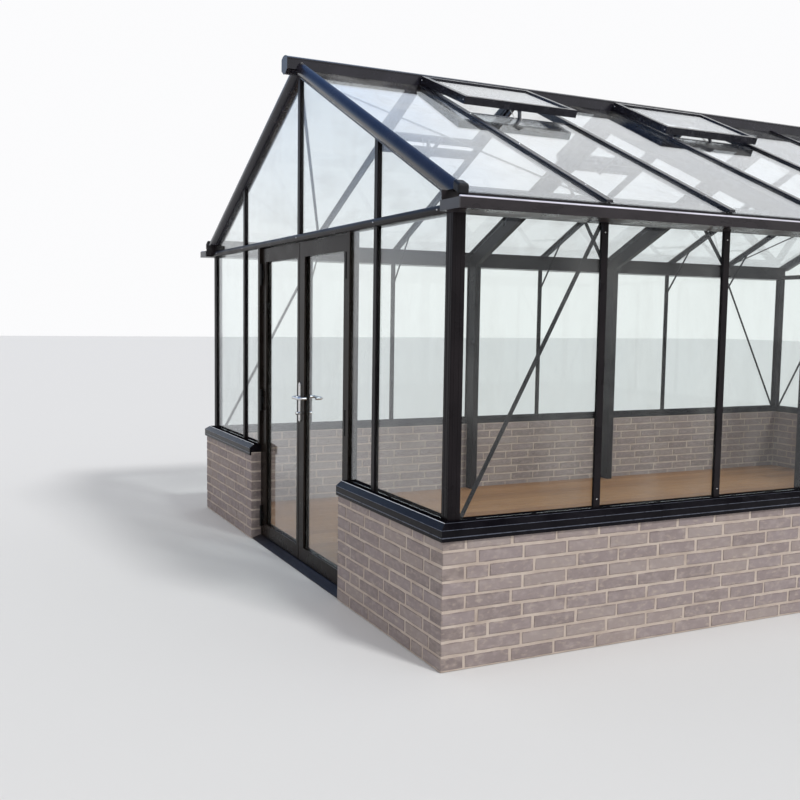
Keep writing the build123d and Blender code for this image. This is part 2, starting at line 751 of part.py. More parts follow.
# Roof glass; under a vent the pane starts at the vent's sill
VENT_SILL_X = RIDGE_SIDE + VENT_LENGTH * SLOPE_COS + VENT_SILL_PAST
roof_stops = [-FRAME_Y + BARGE_BACK + PANE_PLAY] + side_lines + [FRAME_Y - BARGE_BACK - PANE_PLAY]
with BuildPart() as right_roof_glass:
    for n in range(SIDE_BAYS):
        low, high = pane_span(roof_stops, n, BAR_WEB_W / 2 + PANE_PLAY)
        head = RIDGE_WEB_HALF + RIDGE_GLASS_PLAY
        if n + 1 in vent_bays:
            head = VENT_SILL_X + PANE_PLAY
        with BuildSketch(Plane.XZ.offset(-high)):
            with BuildLine():
                Polyline(
                    (head, slope_z(head, 0)),
                    (BAR_END_X, slope_z(BAR_END_X, 0)),
                    (BAR_END_X, slope_z(BAR_END_X, -GLASS_T)),
                    (head, slope_z(head, -GLASS_T)),
                    close=True,
                )
            make_face()
        extrude(amount=high - low)
save(right_roof_glass, "right_roof_glass")
left_roof_glass = twin(right_roof_glass, "left_roof_glass", Plane.YZ)


# Roof vents, each turned open about its hinge on the ridge
def vent_point(s, q, opened):
    """Point s down the vent and q square above its underside."""
    angle = radians(PITCH - opened)
    hinge_x = RIDGE_SIDE + VENT_HINGE_GAP
    hinge_z = slope_z(hinge_x, BAR_CAP_H + VENT_LIFT)
    return hinge_x + s * cos(angle) + q * sin(angle), hinge_z - s * sin(angle) + q * cos(angle)


def vent_band(s_low, s_high, q_low, q_high, opened):
    corners = [(s_low, q_low), (s_high, q_low), (s_high, q_high), (s_low, q_high)]
    return [vent_point(s, q, opened) for s, q in corners]


def bay_edges(bay):
    low = -HALF_L + LINE_INSET + MODULE * (bay - 1)
    return low, low + MODULE


with BuildPart() as vent_frames:
    for bay, opened in vent_bays.items():
        low, high = bay_edges(bay)
        with BuildSketch(Plane.XZ.offset(-high - VENT_SIDE_LAP)):
            with BuildLine():
                Polyline(vent_band(0, VENT_LENGTH, 0, VENT_DEPTH, opened), close=True)
            make_face()
        extrude(amount=MODULE + 2 * VENT_SIDE_LAP)
        with BuildSketch(Plane.XZ.offset(-high - VENT_SIDE_LAP + VENT_BAR)):
            with BuildLine():
                Polyline(
                    vent_band(VENT_BAR, VENT_LENGTH - VENT_BAR, -VENT_DEPTH, 2 * VENT_DEPTH, opened), close=True
                )
            make_face()
        extrude(amount=MODULE + 2 * VENT_SIDE_LAP - 2 * VENT_BAR, mode=Mode.SUBTRACT)
    mirror(about=Plane.YZ)
save(vent_frames, "vent_frames")

VENT_PANE_EDGE = VENT_BAR + PANE_PLAY
VENT_PANE_Q = VENT_DEPTH - VENT_GLASS_DROP
with BuildPart() as vent_glass:
    for bay, opened in vent_bays.items():
        low, high = bay_edges(bay)
        with BuildSketch(Plane.XZ.offset(-high - VENT_SIDE_LAP + VENT_PANE_EDGE)):
            with BuildLine():
                Polyline(
                    vent_band(
                        VENT_PANE_EDGE, VENT_LENGTH - VENT_PANE_EDGE, VENT_PANE_Q - GLASS_T, VENT_PANE_Q, opened
                    ),
                    close=True,
                )
            make_face()
        extrude(amount=MODULE + 2 * VENT_SIDE_LAP - 2 * VENT_PANE_EDGE)
    mirror(about=Plane.YZ)
save(vent_glass, "vent_glass")

VENT_SILL_IN_X = VENT_SILL_X - VENT_SILL_W
with BuildPart() as vent_sills:
    for bay in vent_bays:
        low, high = bay_edges(bay)
        with BuildSketch(Plane.XZ.offset(-high + BAR_WEB_W / 2)):
            with BuildLine():
                Polyline(
                    (VENT_SILL_X, slope_z(VENT_SILL_X, SEAT)),
                    (VENT_SILL_X, slope_z(VENT_SILL_X, -VENT_SILL_DEPTH)),
                    (VENT_SILL_IN_X, slope_z(VENT_SILL_IN_X, -VENT_SILL_DEPTH)),
                    (VENT_SILL_IN_X, slope_z(VENT_SILL_IN_X, SEAT)),
                    close=True,
                )
            make_face()
        extrude(amount=MODULE - BAR_WEB_W)
    mirror(about=Plane.YZ)
save(vent_sills, "vent_sills")

# Vent openers: an arm from the vent's sill to its free edge, and a cylinder under the sill
sill_under = (VENT_SILL_IN_X + (VENT_SILL_DEPTH + OPENER_R) * SLOPE_SIN) / SLOPE_COS
ARM_S = VENT_LENGTH - VENT_BAR
with BuildPart() as vent_openers:
    for bay, opened in vent_bays.items():
        low, high = bay_edges(bay)
        middle = (low + high) / 2
        with BuildSketch(Plane.XZ.offset(-middle - OPENER_ARM_W / 2)):
            with BuildLine():
                Polyline(
                    (VENT_SILL_X - OPENER_FOOT, slope_z(VENT_SILL_X - OPENER_FOOT, SEAT)),
                    (VENT_SILL_X, slope_z(VENT_SILL_X, SEAT)),
                    vent_point(ARM_S + OPENER_FOOT, 0, opened),
                    vent_point(ARM_S, 0, opened),
                    close=True,
                )
            make_face()
        extrude(amount=OPENER_ARM_W)
        with BuildSketch(slope_section(middle, sill_under)):
            with Locations((0, -VENT_SILL_DEPTH)):
                Rectangle(OPENER_BRACKET_W, OPENER_R, align=(Align.CENTER, Align.MAX))
        extrude(amount=OPENER_FOOT)
        with BuildSketch(slope_section(middle, sill_under - OPENER_LENGTH)):
            with Locations((0, -VENT_SILL_DEPTH - OPENER_R)):
                Circle(OPENER_R)
        extrude(amount=OPENER_LENGTH + OPENER_FOOT)
    mirror(about=Plane.YZ)
save(vent_openers, "vent_openers")

# Portal frames: heavy posts on the wall and rafters that meet under the ridge
PORTAL_Q = -RIDGE_DROP * SLOPE_COS
with BuildPart() as portal_frames:
    for line in portal_lines:
        with BuildSketch(Plane.XZ.offset(-line - PORTAL_W / 2)):
            with BuildLine():
                Polyline(
                    (BEAM_IN_X, FLOOR_T),
                    (BEAM_IN_X, slope_z(BEAM_IN_X, PORTAL_Q)),
                    (0, slope_z(0, PORTAL_Q)),
                    (0, slope_z(0, PORTAL_Q - PORTAL_RAFTER)),
                    (BEAM_IN_X - PORTAL_POST, slope_z(BEAM_IN_X - PORTAL_POST, PORTAL_Q - PORTAL_RAFTER)),
                    (BEAM_IN_X - PORTAL_POST, FLOOR_T),
                    close=True,
                )
            make_face()
            mirror(about=Plane.YZ)
        extrude(amount=PORTAL_W)
save(portal_frames, "portal_frames")

# Knee braces between the plain mullions and their roof bars
with BuildPart() as knee_braces:
    for line in side_lines:
        if line in portal_lines:
            continue
        foot = (MULLION_IN_X, BEAM_Z - KNEE_DROP)
        head_x = BEAM_IN_X - KNEE_REACH
        head = (head_x, slope_z(head_x, -BAR_DEPTH))
        with BuildSketch(Plane.XZ.offset(-line - KNEE_T / 2)):
            with BuildLine():
                Polyline(
                    foot,
                    head,
                    (head_x + KNEE_W, slope_z(head_x + KNEE_W, -BAR_DEPTH)),
                    (MULLION_IN_X, foot[1] + KNEE_W),
                    close=True,
                )
            make_face()
            mirror(about=Plane.YZ)
        extrude(amount=KNEE_T)
save(knee_braces, "knee_braces")


# Flat diagonal straps behind the glass of the corner bays, from the sill to the head of a mullion
with BuildPart() as wall_braces:
    with BuildSketch(Plane.YZ.offset(MULLION_IN_X - STRAP_T)):
        with BuildLine():
            Polyline(strap((FRAME_Y - STRAP_CORNER, SILL_TOP), (side_lines[-1], BEAM_Z)), close=True)
        make_face()
        mirror(about=Plane.YZ)
    extrude(amount=STRAP_T)
    with BuildSketch(Plane.XZ.offset(-MULLION_IN_Y)):
        with BuildLine():
            Polyline(strap((FRAME_X - STRAP_CORNER, SILL_TOP), (GABLE_LINE, BEAM_Z)), close=True)
        make_face()
    extrude(amount=STRAP_T)
    mirror(about=Plane.YZ)
save(wall_braces, "wall_braces")

# Door jambs: a post to the ground with a cap over the side light's glass
JAMB_X = HALF_REVEAL - JAMB_W
DOOR_Y = -HALF_L + DOOR_INSET
JAMB_DEPTH = -BEAM_IN_Y - DOOR_Y
with BuildPart() as door_jambs:
    with BuildSketch(Plane.XY):
        with Locations((JAMB_X + JAMB_W / 2, DOOR_Y + JAMB_DEPTH / 2)):
            Rectangle(JAMB_W, JAMB_DEPTH)
        mirror(about=Plane.YZ)
    extrude(amount=BEAM_Z)
    with BuildSketch(Plane.XY.offset(SILL_TOP)):
        with Locations((HALF_REVEAL + JAMB_CAP_LAP, -FRAME_Y)):
            Rectangle(JAMB_CAP_W, CAP_T, align=(Align.MAX, Align.MIN))
        with Locations((HALF_REVEAL, -FRAME_Y)):
            Rectangle(JAMB_CAP_W - JAMB_CAP_LAP, DOOR_Y + FRAME_Y, align=(Align.MAX, Align.MIN))
        mirror(about=Plane.YZ)
    extrude(amount=BEAM_Z - SILL_TOP)
save(door_jambs, "door_jambs")

# Threshold: a ramp between the piers up to the leaves, and a flat between the jambs
with BuildPart() as threshold:
    with BuildSketch(Plane.YZ.offset(-HALF_REVEAL)):
        with BuildLine():
            Polyline(
                (-HALF_L + THRESHOLD_SETBACK, 0),
                (-HALF_L + THRESHOLD_SETBACK, THRESHOLD_TOE),
                (DOOR_Y, THRESHOLD_H),
                (DOOR_Y, 0),
                close=True,
            )
        make_face()
    extrude(amount=2 * HALF_REVEAL)
    with BuildSketch(Plane.YZ.offset(-JAMB_X)):
        with Locations((DOOR_Y, 0)):
            Rectangle(JAMB_DEPTH, THRESHOLD_H, align=(Align.MIN, Align.MIN))
    extrude(amount=2 * JAMB_X)
save(threshold, "threshold")

# Floor of boards between the walls
with BuildPart() as floor:
    with BuildSketch(Plane.XY):
        Rectangle(2 * (HALF_W - WALL_T), 2 * (HALF_L - WALL_T))
    extrude(amount=FLOOR_T)
save(floor, "floor")

# Door leaves; the right one has the wide lock stile, so the left one's meeting stile is slim
LEAF_LOW = THRESHOLD_H + LEAF_RISE
LEAF_TOP = BEAM_Z - LEAF_HEAD_GAP
LEAF_OUT = JAMB_X - LEAF_GAP
LOCK_EDGE = MEETING_BAND / 2 - LOCK_STILE
HINGE_X = JAMB_X - LEAF_GAP / 2
HINGE_Y = DOOR_Y - HINGE_PLATE_T - HINGE_R
LEVER_X = LOCK_EDGE + PLATE_MARGIN + PLATE_W / 2
PANE_LOW = LEAF_LOW + BOTTOM_RAIL
PANE_TOP = LEAF_TOP - TOP_RAIL
PANE_IN = MEETING_BAND / 2
PANE_OUT = LEAF_OUT - HINGE_STILE

with BuildPart() as right_door_frame:
    with BuildSketch(Plane.XZ.offset(-DOOR_Y)):
        with Locations((LOCK_EDGE, LEAF_LOW)):
            Rectangle(LEAF_OUT - LOCK_EDGE, LEAF_TOP - LEAF_LOW, align=(Align.MIN, Align.MIN))
        with Locations((PANE_IN, PANE_LOW)):
            Rectangle(PANE_OUT - PANE_IN, PANE_TOP - PANE_LOW, align=(Align.MIN, Align.MIN), mode=Mode.SUBTRACT)
        with Locations((LEVER_X, LEVER_Z)):
            Circle(SPINDLE_R + SPINDLE_PLAY, mode=Mode.SUBTRACT)
    extrude(amount=-LEAF_T)
save(right_door_frame, "right_door_frame")

with BuildPart() as left_door_frame:
    with BuildSketch(Plane.XZ.offset(-DOOR_Y)):
        with Locations((LOCK_EDGE - MEETING_GAP, LEAF_LOW)):
            Rectangle(LEAF_OUT + LOCK_EDGE - MEETING_GAP, LEAF_TOP - LEAF_LOW, align=(Align.MAX, Align.MIN))
        with Locations((-PANE_IN, PANE_LOW)):
            Rectangle(PANE_OUT - PANE_IN, PANE_TOP - PANE_LOW, align=(Align.MAX, Align.MIN), mode=Mode.SUBTRACT)
    extrude(amount=-LEAF_T)
save(left_door_frame, "left_door_frame")

with BuildPart() as right_door_glass:
    with BuildSketch(Plane.XZ.offset(-DOOR_Y - LEAF_T / 2 + GLASS_T / 2)):
        with Locations((PANE_IN + PANE_PLAY, PANE_LOW + PANE_PLAY)):
            Rectangle(
                PANE_OUT - PANE_IN - 2 * PANE_PLAY,
                PANE_TOP - PANE_LOW - 2 * PANE_PLAY,
                align=(Align.MIN, Align.MIN),
            )
    extrude(amount=-GLASS_T)
save(right_door_glass, "right_door_glass")
left_door_glass = twin(right_door_glass, "left_door_glass", Plane.YZ)

# Hinges: the leaf's middle knuckle and plate turn on the jamb's pin
KNUCKLE_H = HINGE_H / 3
with BuildPart() as right_leaf_hinges:
    for height in HINGE_HEIGHTS:
        with BuildSketch(Plane.XY.offset(height - KNUCKLE_H / 2 + HINGE_KNUCKLE_GAP)):
            with Locations((HINGE_X, HINGE_Y)):
                Circle(HINGE_R)
            with Locations((LEAF_OUT, DOOR_Y)):
                Rectangle(HINGE_PLATE_W, HINGE_PLATE_T, align=(Align.MAX, Align.MAX))
            with Locations((HINGE_X - HINGE_R, HINGE_Y)):
                Rectangle(HINGE_R - LEAF_GAP / 2, HINGE_R, align=(Align.MIN, Align.MIN))
            with Locations((HINGE_X, HINGE_Y)):
                Circle(HINGE_PIN_R + HINGE_PIN_PLAY, mode=Mode.SUBTRACT)
        extrude(amount=KNUCKLE_H - 2 * HINGE_KNUCKLE_GAP)
save(right_leaf_hinges, "right_leaf_hinges")
left_leaf_hinges = twin(right_leaf_hinges, "left_leaf_hinges", Plane.YZ)

with BuildPart() as jamb_hinges:
    for height in HINGE_HEIGHTS:
        for low in (height - HINGE_H / 2, height + KNUCKLE_H / 2):
            with BuildSketch(Plane.XY.offset(low)):
                with Locations((HINGE_X, HINGE_Y)):
                    Circle(HINGE_R)
                with Locations((JAMB_X, DOOR_Y)):
                    Rectangle(JAMB_PLATE_W, HINGE_PLATE_T, align=(Align.MIN, Align.MAX))
                with Locations((HINGE_X + HINGE_R, HINGE_Y)):
                    Rectangle(HINGE_R - LEAF_GAP / 2, HINGE_R, align=(Align.MAX, Align.MIN))
            extrude(amount=KNUCKLE_H)
        with BuildSketch(Plane.XY.offset(height - HINGE_H / 2)):
            with Locations((HINGE_X, HINGE_Y)):
                Circle(HINGE_PIN_R)
        extrude(amount=HINGE_H)
    mirror(about=Plane.YZ)
save(jamb_hinges, "jamb_hinges")

# Lever set on the right leaf: long plates both sides and one pair of return levers
with BuildPart() as lever_plates:
    with BuildSketch(Plane.XZ.offset(-DOOR_Y)):
        with Locations((LEVER_X, LEVER_Z + PLATE_RISE - PLATE_H / 2)):
            SlotOverall(PLATE_H, PLATE_W, rotation=90)
        with Locations((LEVER_X, LEVER_Z)):
            Circle(SPINDLE_R + SPINDLE_PLAY, mode=Mode.SUBTRACT)
    extrude(amount=PLATE_T)
    with BuildSketch(Plane.XZ.offset(-DOOR_Y + PLATE_T)):
        with Locations((LEVER_X, LEVER_Z - LOCK_DROP)):
            Circle(LOCK_R)
    extrude(amount=LOCK_STAND)
    mirror(about=Plane.XZ.offset(-DOOR_Y - LEAF_T / 2))
save(lever_plates, "lever_plates")

with BuildPart() as door_lever:
    with BuildLine() as lever_path:
        FilletPolyline(
            (LEVER_X, DOOR_Y + LEAF_T / 2, LEVER_Z),
            (LEVER_X, DOOR_Y - LEVER_STAND, LEVER_Z),
            (LEVER_X + LEVER_ARM, DOOR_Y - LEVER_STAND, LEVER_Z),
            (LEVER_X + LEVER_ARM, DOOR_Y - LEVER_STAND + LEVER_RETURN, LEVER_Z),
            radius=LEVER_BEND,
        )
    with BuildSketch(Plane.XZ.offset(-DOOR_Y - LEAF_T / 2)):
        with Locations((LEVER_X, LEVER_Z)):
            Circle(LEVER_R)
    sweep(path=lever_path.wires()[0])
    with BuildSketch(Plane.XZ.offset(-DOOR_Y - LEAF_T / 2)):
        with Locations((LEVER_X, LEVER_Z)):
            Circle(2 * LEVER_R)
            Circle(SPINDLE_R, mode=Mode.SUBTRACT)
    extrude(amount=LEAF_T / 2 + PLATE_T + 1, mode=Mode.SUBTRACT)
    mirror(about=Plane.XZ.offset(-DOOR_Y - LEAF_T / 2))
save(door_lever, "door_lever")
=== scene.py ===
import math
import random

import bmesh
import bpy
from mathutils import Matrix, Vector


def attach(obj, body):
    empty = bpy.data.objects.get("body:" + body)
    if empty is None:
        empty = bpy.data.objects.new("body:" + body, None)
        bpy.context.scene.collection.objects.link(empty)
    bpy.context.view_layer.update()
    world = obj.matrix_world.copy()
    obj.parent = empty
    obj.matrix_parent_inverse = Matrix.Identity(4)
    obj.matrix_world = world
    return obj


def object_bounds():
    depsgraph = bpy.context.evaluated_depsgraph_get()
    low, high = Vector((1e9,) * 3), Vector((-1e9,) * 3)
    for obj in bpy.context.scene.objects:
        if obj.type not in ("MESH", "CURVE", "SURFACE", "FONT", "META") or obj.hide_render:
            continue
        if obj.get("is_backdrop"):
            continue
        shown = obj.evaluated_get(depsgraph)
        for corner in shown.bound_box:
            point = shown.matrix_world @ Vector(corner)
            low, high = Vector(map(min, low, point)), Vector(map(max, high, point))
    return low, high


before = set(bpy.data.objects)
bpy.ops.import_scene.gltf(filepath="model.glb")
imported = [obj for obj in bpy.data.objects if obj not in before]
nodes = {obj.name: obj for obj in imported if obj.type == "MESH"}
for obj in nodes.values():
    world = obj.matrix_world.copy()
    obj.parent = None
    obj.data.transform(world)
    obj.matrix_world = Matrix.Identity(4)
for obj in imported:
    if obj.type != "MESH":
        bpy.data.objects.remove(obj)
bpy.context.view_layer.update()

# Brick dwarf wall, nine courses high. Hand-moulded grey-mauve bricks of 228 x 108 x 54 mm go
# through the whole thickness of the wall, in running bond with closers at the corners.
# They are laid in beige mortar that is struck flush and smeared a little over their edges.
COURSE = 0.0667
JOINT = 0.012
BRICK, THREE_QUARTER, HALF = 0.228, 0.168, 0.108
RUBBED, RUBBED_C = 0.2268, 0.22675  # whole bricks rubbed down, so that the long wall comes out
BRICK_H = 0.0560  # 54 mm, and what swells over the two joints
BRICK_T = 0.108
BRICK_EDGE = 0.0026
BRICK_RIM = 0.0065
BRICK_PROUD = 0.0016
BRICK_SPREAD = 0.0006
BROAD_FACE = 0.004  # square metres, over which a face has a rim
MOULD_CUTS = (-0.3, -0.05, 0.22)
END_WANDER = 0.002
DEPTH_WANDER = 0.0006
WANDER = 0.0011
LEAN, TWIST = 0.008, 0.003
WALL_X = 1.974
WALL_Y = 3.099
PIER_X = 0.786
mason = random.Random(7)


def shader_of(finish):
    return finish.node_tree.nodes["Principled BSDF"]


def new_finish(name, metallic=0.0):
    finish = bpy.data.materials.new(name)
    finish.use_nodes = True
    shader_of(finish).inputs["Metallic"].default_value = metallic
    return finish


def mottle(finish, scale, stretch=(1.0, 1.0, 1.0), detail=4.0):
    """Cloudy noise that lies still on the object."""
    tree = finish.node_tree
    place = tree.nodes.new("ShaderNodeTexCoord")
    mapping = tree.nodes.new("ShaderNodeMapping")
    mapping.inputs["Scale"].default_value = stretch
    noise = tree.nodes.new("ShaderNodeTexNoise")
    noise.inputs["Scale"].default_value = scale
    noise.inputs["Detail"].default_value = detail
    tree.links.new(place.outputs["Object"], mapping.inputs["Vector"])
    tree.links.new(mapping.outputs["Vector"], noise.inputs["Vector"])
    return noise.outputs["Fac"]


def carried(finish, trait):
    """A number from 0 to 1 that each point of the mesh carries."""
    node = finish.node_tree.nodes.new("ShaderNodeAttribute")
    node.attribute_name = trait
    return node.outputs["Fac"]


def shades(finish, pattern, stops):
    """Colours along a pattern, as (position, colour) stops."""
    ramp = finish.node_tree.nodes.new("ShaderNodeValToRGB")
    bands = ramp.color_ramp.elements
    for band, (position, colour) in ((bands[0], stops[0]), (bands[1], stops[-1])):
        band.position = position
        band.color = (*colour, 1.0)
    for position, colour in stops[1:-1]:
        bands.new(position).color = (*colour, 1.0)
    finish.node_tree.links.new(pattern, ramp.inputs["Fac"])
    return ramp.outputs["Color"]


def spread(finish, pattern, low, high, start=0.3, end=0.7):
    """A pattern brought to a range of numbers."""
    node = finish.node_tree.nodes.new("ShaderNodeMapRange")
    node.inputs["From Min"].default_value = start
    node.inputs["From Max"].default_value = end
    node.inputs["To Min"].default_value = low
    node.inputs["To Max"].default_value = high
    finish.node_tree.links.new(pattern, node.inputs["Value"])
    return node.outputs["Result"]


def overlay(finish, share, under, over):
    """Two colours mixed by a pattern."""
    node = finish.node_tree.nodes.new("ShaderNodeMix")
    node.data_type = "RGBA"
    finish.node_tree.links.new(share, node.inputs["Factor"])
    finish.node_tree.links.new(under, node.inputs["A"])
    finish.node_tree.links.new(over, node.inputs["B"])
    return node.outputs["Result"]


def surface(finish, colour, rough):
    """Gives a finish its colour and its roughness."""
    finish.node_tree.links.new(colour, shader_of(finish).inputs["Base Color"])
    finish.node_tree.links.new(rough, shader_of(finish).inputs["Roughness"])


def relief(finish, height, distance, strength=1.0):
    """A bump that follows a pattern."""
    bump = finish.node_tree.nodes.new("ShaderNodeBump")
    bump.inputs["Strength"].default_value = strength
    bump.inputs["Distance"].default_value = distance
    finish.node_tree.links.new(height, bump.inputs["Height"])
    finish.node_tree.links.new(bump.outputs["Normal"], shader_of(finish).inputs["Normal"])


def dress(finish, *names):
    """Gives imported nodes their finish."""
    for name in names:
        nodes[name].data.materials.clear()
        nodes[name].data.materials.append(finish)


def ease_edges(bm, offset, segments=1):
    bmesh.ops.bevel(
        bm, geom=bm.edges[:], offset=offset, segments=segments, profile=0.5, affect="EDGES", material=-1
    )


def fit(bm, name, finish, body="house", soften=0.0):
    """Closes a mesh into a finished piece on its body."""
    if soften:
        ease_edges(bm, soften)
    bmesh.ops.recalc_face_normals(bm, faces=bm.faces[:])
    mesh = bpy.data.meshes.new(name)
    bm.to_mesh(mesh)
    bm.free()
    mesh.materials.append(finish)
    piece = bpy.data.objects.new(name, mesh)
    bpy.context.scene.collection.objects.link(piece)
    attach(piece, body)
    return piece


def carry(piece, trait, values):
    """Writes a number for each point into the mesh, for its finish to read."""
    piece.data.attributes.new(trait, "FLOAT", "POINT").data.foreach_set("value", values)


mortar = new_finish("mortar")
sand = mottle(mortar, 900.0, detail=2.0)
patches = shades(
    mortar,
    mottle(mortar, 9.0),
    [(0.3, (0.45, 0.365, 0.305)), (0.5, (0.53, 0.440, 0.375)), (0.7, (0.60, 0.512, 0.442))],
)
surface(mortar, patches, spread(mortar, sand, 0.82, 0.97))
relief(mortar, sand, 0.0012)
dress(mortar, "side_brick_walls", "front_brick_walls", "back_brick_wall")

fired_clay = new_finish("fired_clay")
body_colour = shades(
    fired_clay,
    carried(fired_clay, "kiln"),
    [
        (0.0, (0.245, 0.198, 0.190)),
        (0.3, (0.280, 0.228, 0.222)),
        (0.6, (0.302, 0.250, 0.248)),
        (0.85, (0.325, 0.266, 0.244)),
        (1.0, (0.355, 0.300, 0.280)),
    ],
)
clouds = mottle(fired_clay, 21.0, stretch=(1.0, 1.0, 1.6), detail=8.0)
cloudy = overlay(
    fired_clay,
    spread(fired_clay, clouds, 0.0, 0.6, 0.25, 0.75),
    body_colour,
    shades(fired_clay, clouds, [(0.35, (0.215, 0.174, 0.168)), (0.65, (0.385, 0.325, 0.305))]),
)
# Painted shade: each brick face darkens towards its rim, standing for the shadow along its edges by the
# joints.
rim_shaded = overlay(
    fired_clay,
    spread(fired_clay, carried(fired_clay, "rim"), 0.0, 0.55, 0.0, 1.0),
    cloudy,
    shades(fired_clay, clouds, [(0.35, (0.150, 0.118, 0.110)), (0.65, (0.270, 0.218, 0.196))]),
)
smears = mottle(fired_clay, 42.0, stretch=(0.6, 0.6, 1.3), detail=9.0)
limed = overlay(
    fired_clay,
    spread(fired_clay, smears, 0.0, 0.60, 0.54, 0.74),
    rim_shaded,
    shades(fired_clay, smears, [(0.5, (0.42, 0.345, 0.285)), (0.9, (0.53, 0.445, 0.375))]),
)
grit = mottle(fired_clay, 420.0, detail=5.0)
surface(fired_clay, limed, spread(fired_clay, grit, 0.72, 0.92))
relief(fired_clay, grit, 0.0010, 0.9)


def moulded_brick(length):
    """One brick as it leaves its mould: soft edges, a rim round each broad face, and cuts across
    it so that the long edges can wander."""
    bm = bmesh.new()
    bmesh.ops.create_cube(bm, size=1.0)
    bmesh.ops.scale(bm, vec=(length, BRICK_T + 2 * BRICK_PROUD, BRICK_H), verts=bm.verts)
    ease_edges(bm, BRICK_EDGE)
    upright = [face for face in bm.faces if len(face.verts) == 4 and abs(face.normal.z) < 0.01]
    broad = [face for face in upright if face.calc_area() > BROAD_FACE]
    bmesh.ops.inset_individual(bm, faces=broad, thickness=BRICK_RIM, depth=0.0)
    for share in MOULD_CUTS:
        whole = bm.verts[:] + bm.edges[:] + bm.faces[:]
        bmesh.ops.bisect_plane(bm, geom=whole, plane_co=(share * length, 0, 0), plane_no=(1, 0, 0))
    mould = bpy.data.meshes.new("mould")
    bm.to_mesh(mould)
    bm.free()
    return mould


def lay_course(wall, traits, corner, along, inward, course, lengths):
    """Bricks from a corner of the wall's outer face, one after another with a joint between."""
    turn = Matrix((along, inward, along.cross(inward))).transposed().to_4x4()
    last = len(lengths) - 1
    reach = 0.0
    for n, length in enumerate(lengths):
        near, far = reach, reach + length
        near -= BRICK_PROUD if n == 0 else BRICK_SPREAD + mason.uniform(-END_WANDER, END_WANDER)
        far += BRICK_PROUD if n == last else BRICK_SPREAD + mason.uniform(-END_WANDER, END_WANDER)
        brick = moulded_brick(far - near)
        fired = mason.random()
        for point in brick.vertices:
            # Points round the rim of a face are marked, and the finish paints shade there.
            inset = min((far - near) / 2 - abs(point.co.x), BRICK_H / 2 - abs(point.co.z))
            traits.append((fired, 0.0 if inset > BRICK_RIM else 1.0))
        middle = corner + along * ((near + far) / 2) + inward * (BRICK_T / 2)
        middle = middle + inward * mason.uniform(-DEPTH_WANDER, DEPTH_WANDER)
        middle.z = COURSE * (course + 0.5) + mason.uniform(-WANDER, WANDER)
        lean = Matrix.Rotation(mason.uniform(-LEAN, LEAN), 4, "Y")
        twist = Matrix.Rotation(mason.uniform(-TWIST, TWIST), 4, "Z")
        brick.transform(Matrix.Translation(middle) @ turn @ (lean @ twist))
        wall.from_mesh(brick)
        bpy.data.meshes.remove(brick)
        reach += length + JOINT


def build_bricks(name, runs):
    """A wall of laid courses, whose every corner wanders a little."""
    wall = bmesh.new()
    traits = []
    for corner, along, inward, course, lengths in runs:
        lay_course(wall, traits, Vector(corner), Vector(along), Vector(inward), course, lengths)
    for point in wall.verts:
        point.co += Vector([mason.uniform(-WANDER, WANDER) for axis in range(3)])
    piece = fit(wall, name, fired_clay)
    carry(piece, "kiln", [fired for fired, rim in traits])
    carry(piece, "rim", [rim for fired, rim in traits])


# Three kinds of course, as the start of the first brick and the lengths from there on. In kind B
# the long wall's own three-quarter brick turns the corner, and in A and C that of the gable.
BOND = "ABCBABCBA"
LONG_WALL = {
    "A": (HALF + JOINT, [RUBBED] * 25),
    "B": (0.0, [THREE_QUARTER] + [RUBBED] * 24 + [0.107, THREE_QUARTER]),
    "C": (HALF + JOINT, [HALF] + [RUBBED_C] * 24 + [HALF]),
}
PIER = {
    "A": [THREE_QUARTER, BRICK, BRICK, BRICK, HALF, THREE_QUARTER],
    "B": [HALF, BRICK, BRICK, BRICK, BRICK],
    "C": [THREE_QUARTER, HALF, BRICK, BRICK, BRICK, THREE_QUARTER],
}
BACK_WALL = {
    "A": (0.0, [THREE_QUARTER] + [BRICK] * 15 + [THREE_QUARTER]),
    "B": (HALF + JOINT, [BRICK] * 7 + [HALF] + [BRICK] * 8),
    "C": (0.0, [THREE_QUARTER, HALF] + [BRICK] * 14 + [HALF, THREE_QUARTER]),
}

for side, name in ((1, "right_wall_bricks"), (-1, "left_wall_bricks")):
    runs = []
    for course, bond in enumerate(BOND):
        start, lengths = LONG_WALL[bond]
        runs.append(((side * WALL_X, -WALL_Y + start, 0), (0, 1, 0), (-side, 0, 0), course, lengths))
    build_bricks(name, runs)
runs = []
for course, bond in enumerate(BOND):
    for side in (1, -1):
        runs.append(((side * PIER_X, -WALL_Y, 0), (side, 0, 0), (0, 1, 0), course, PIER[bond]))
build_bricks("front_pier_bricks", runs)
runs = []
for course, bond in enumerate(BOND):
    start, lengths = BACK_WALL[bond]
    runs.append(((-WALL_X + start, WALL_Y, 0), (1, 0, 0), (0, -1, 0), course, lengths))
build_bricks("back_wall_bricks", runs)

# Floor of oiled softwood boards that run the length of the house, 120 mm wide with 4 mm gaps.
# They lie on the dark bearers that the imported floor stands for, with their ends staggered.
BOARD = 0.1204
BOARD_GAP = 0.004
BOARD_THICK = 0.006
BOARD_SUNK = 0.004
BUTT_GAP = 0.002
FIRST_BUTT, BUTT_STEP, BOARD_LENGTH, SHORTEST = 0.9, 0.66, 2.4, 0.3
FLOOR_X = 1.866
FLOOR_Y = 2.991
FLOOR_TOP = 0.025


def coat(name, scale, stops, rough, stretch=(1.0, 1.0, 1.0), detail=4.0, metallic=0.0, specular=0.5):
    """A finish whose colour and roughness follow the same clouds."""
    finish = new_finish(name, metallic)
    shader_of(finish).inputs["Specular IOR Level"].default_value = specular
    clouds = mottle(finish, scale, stretch, detail)
    surface(finish, shades(finish, clouds, stops), spread(finish, clouds, *rough))
    return finish


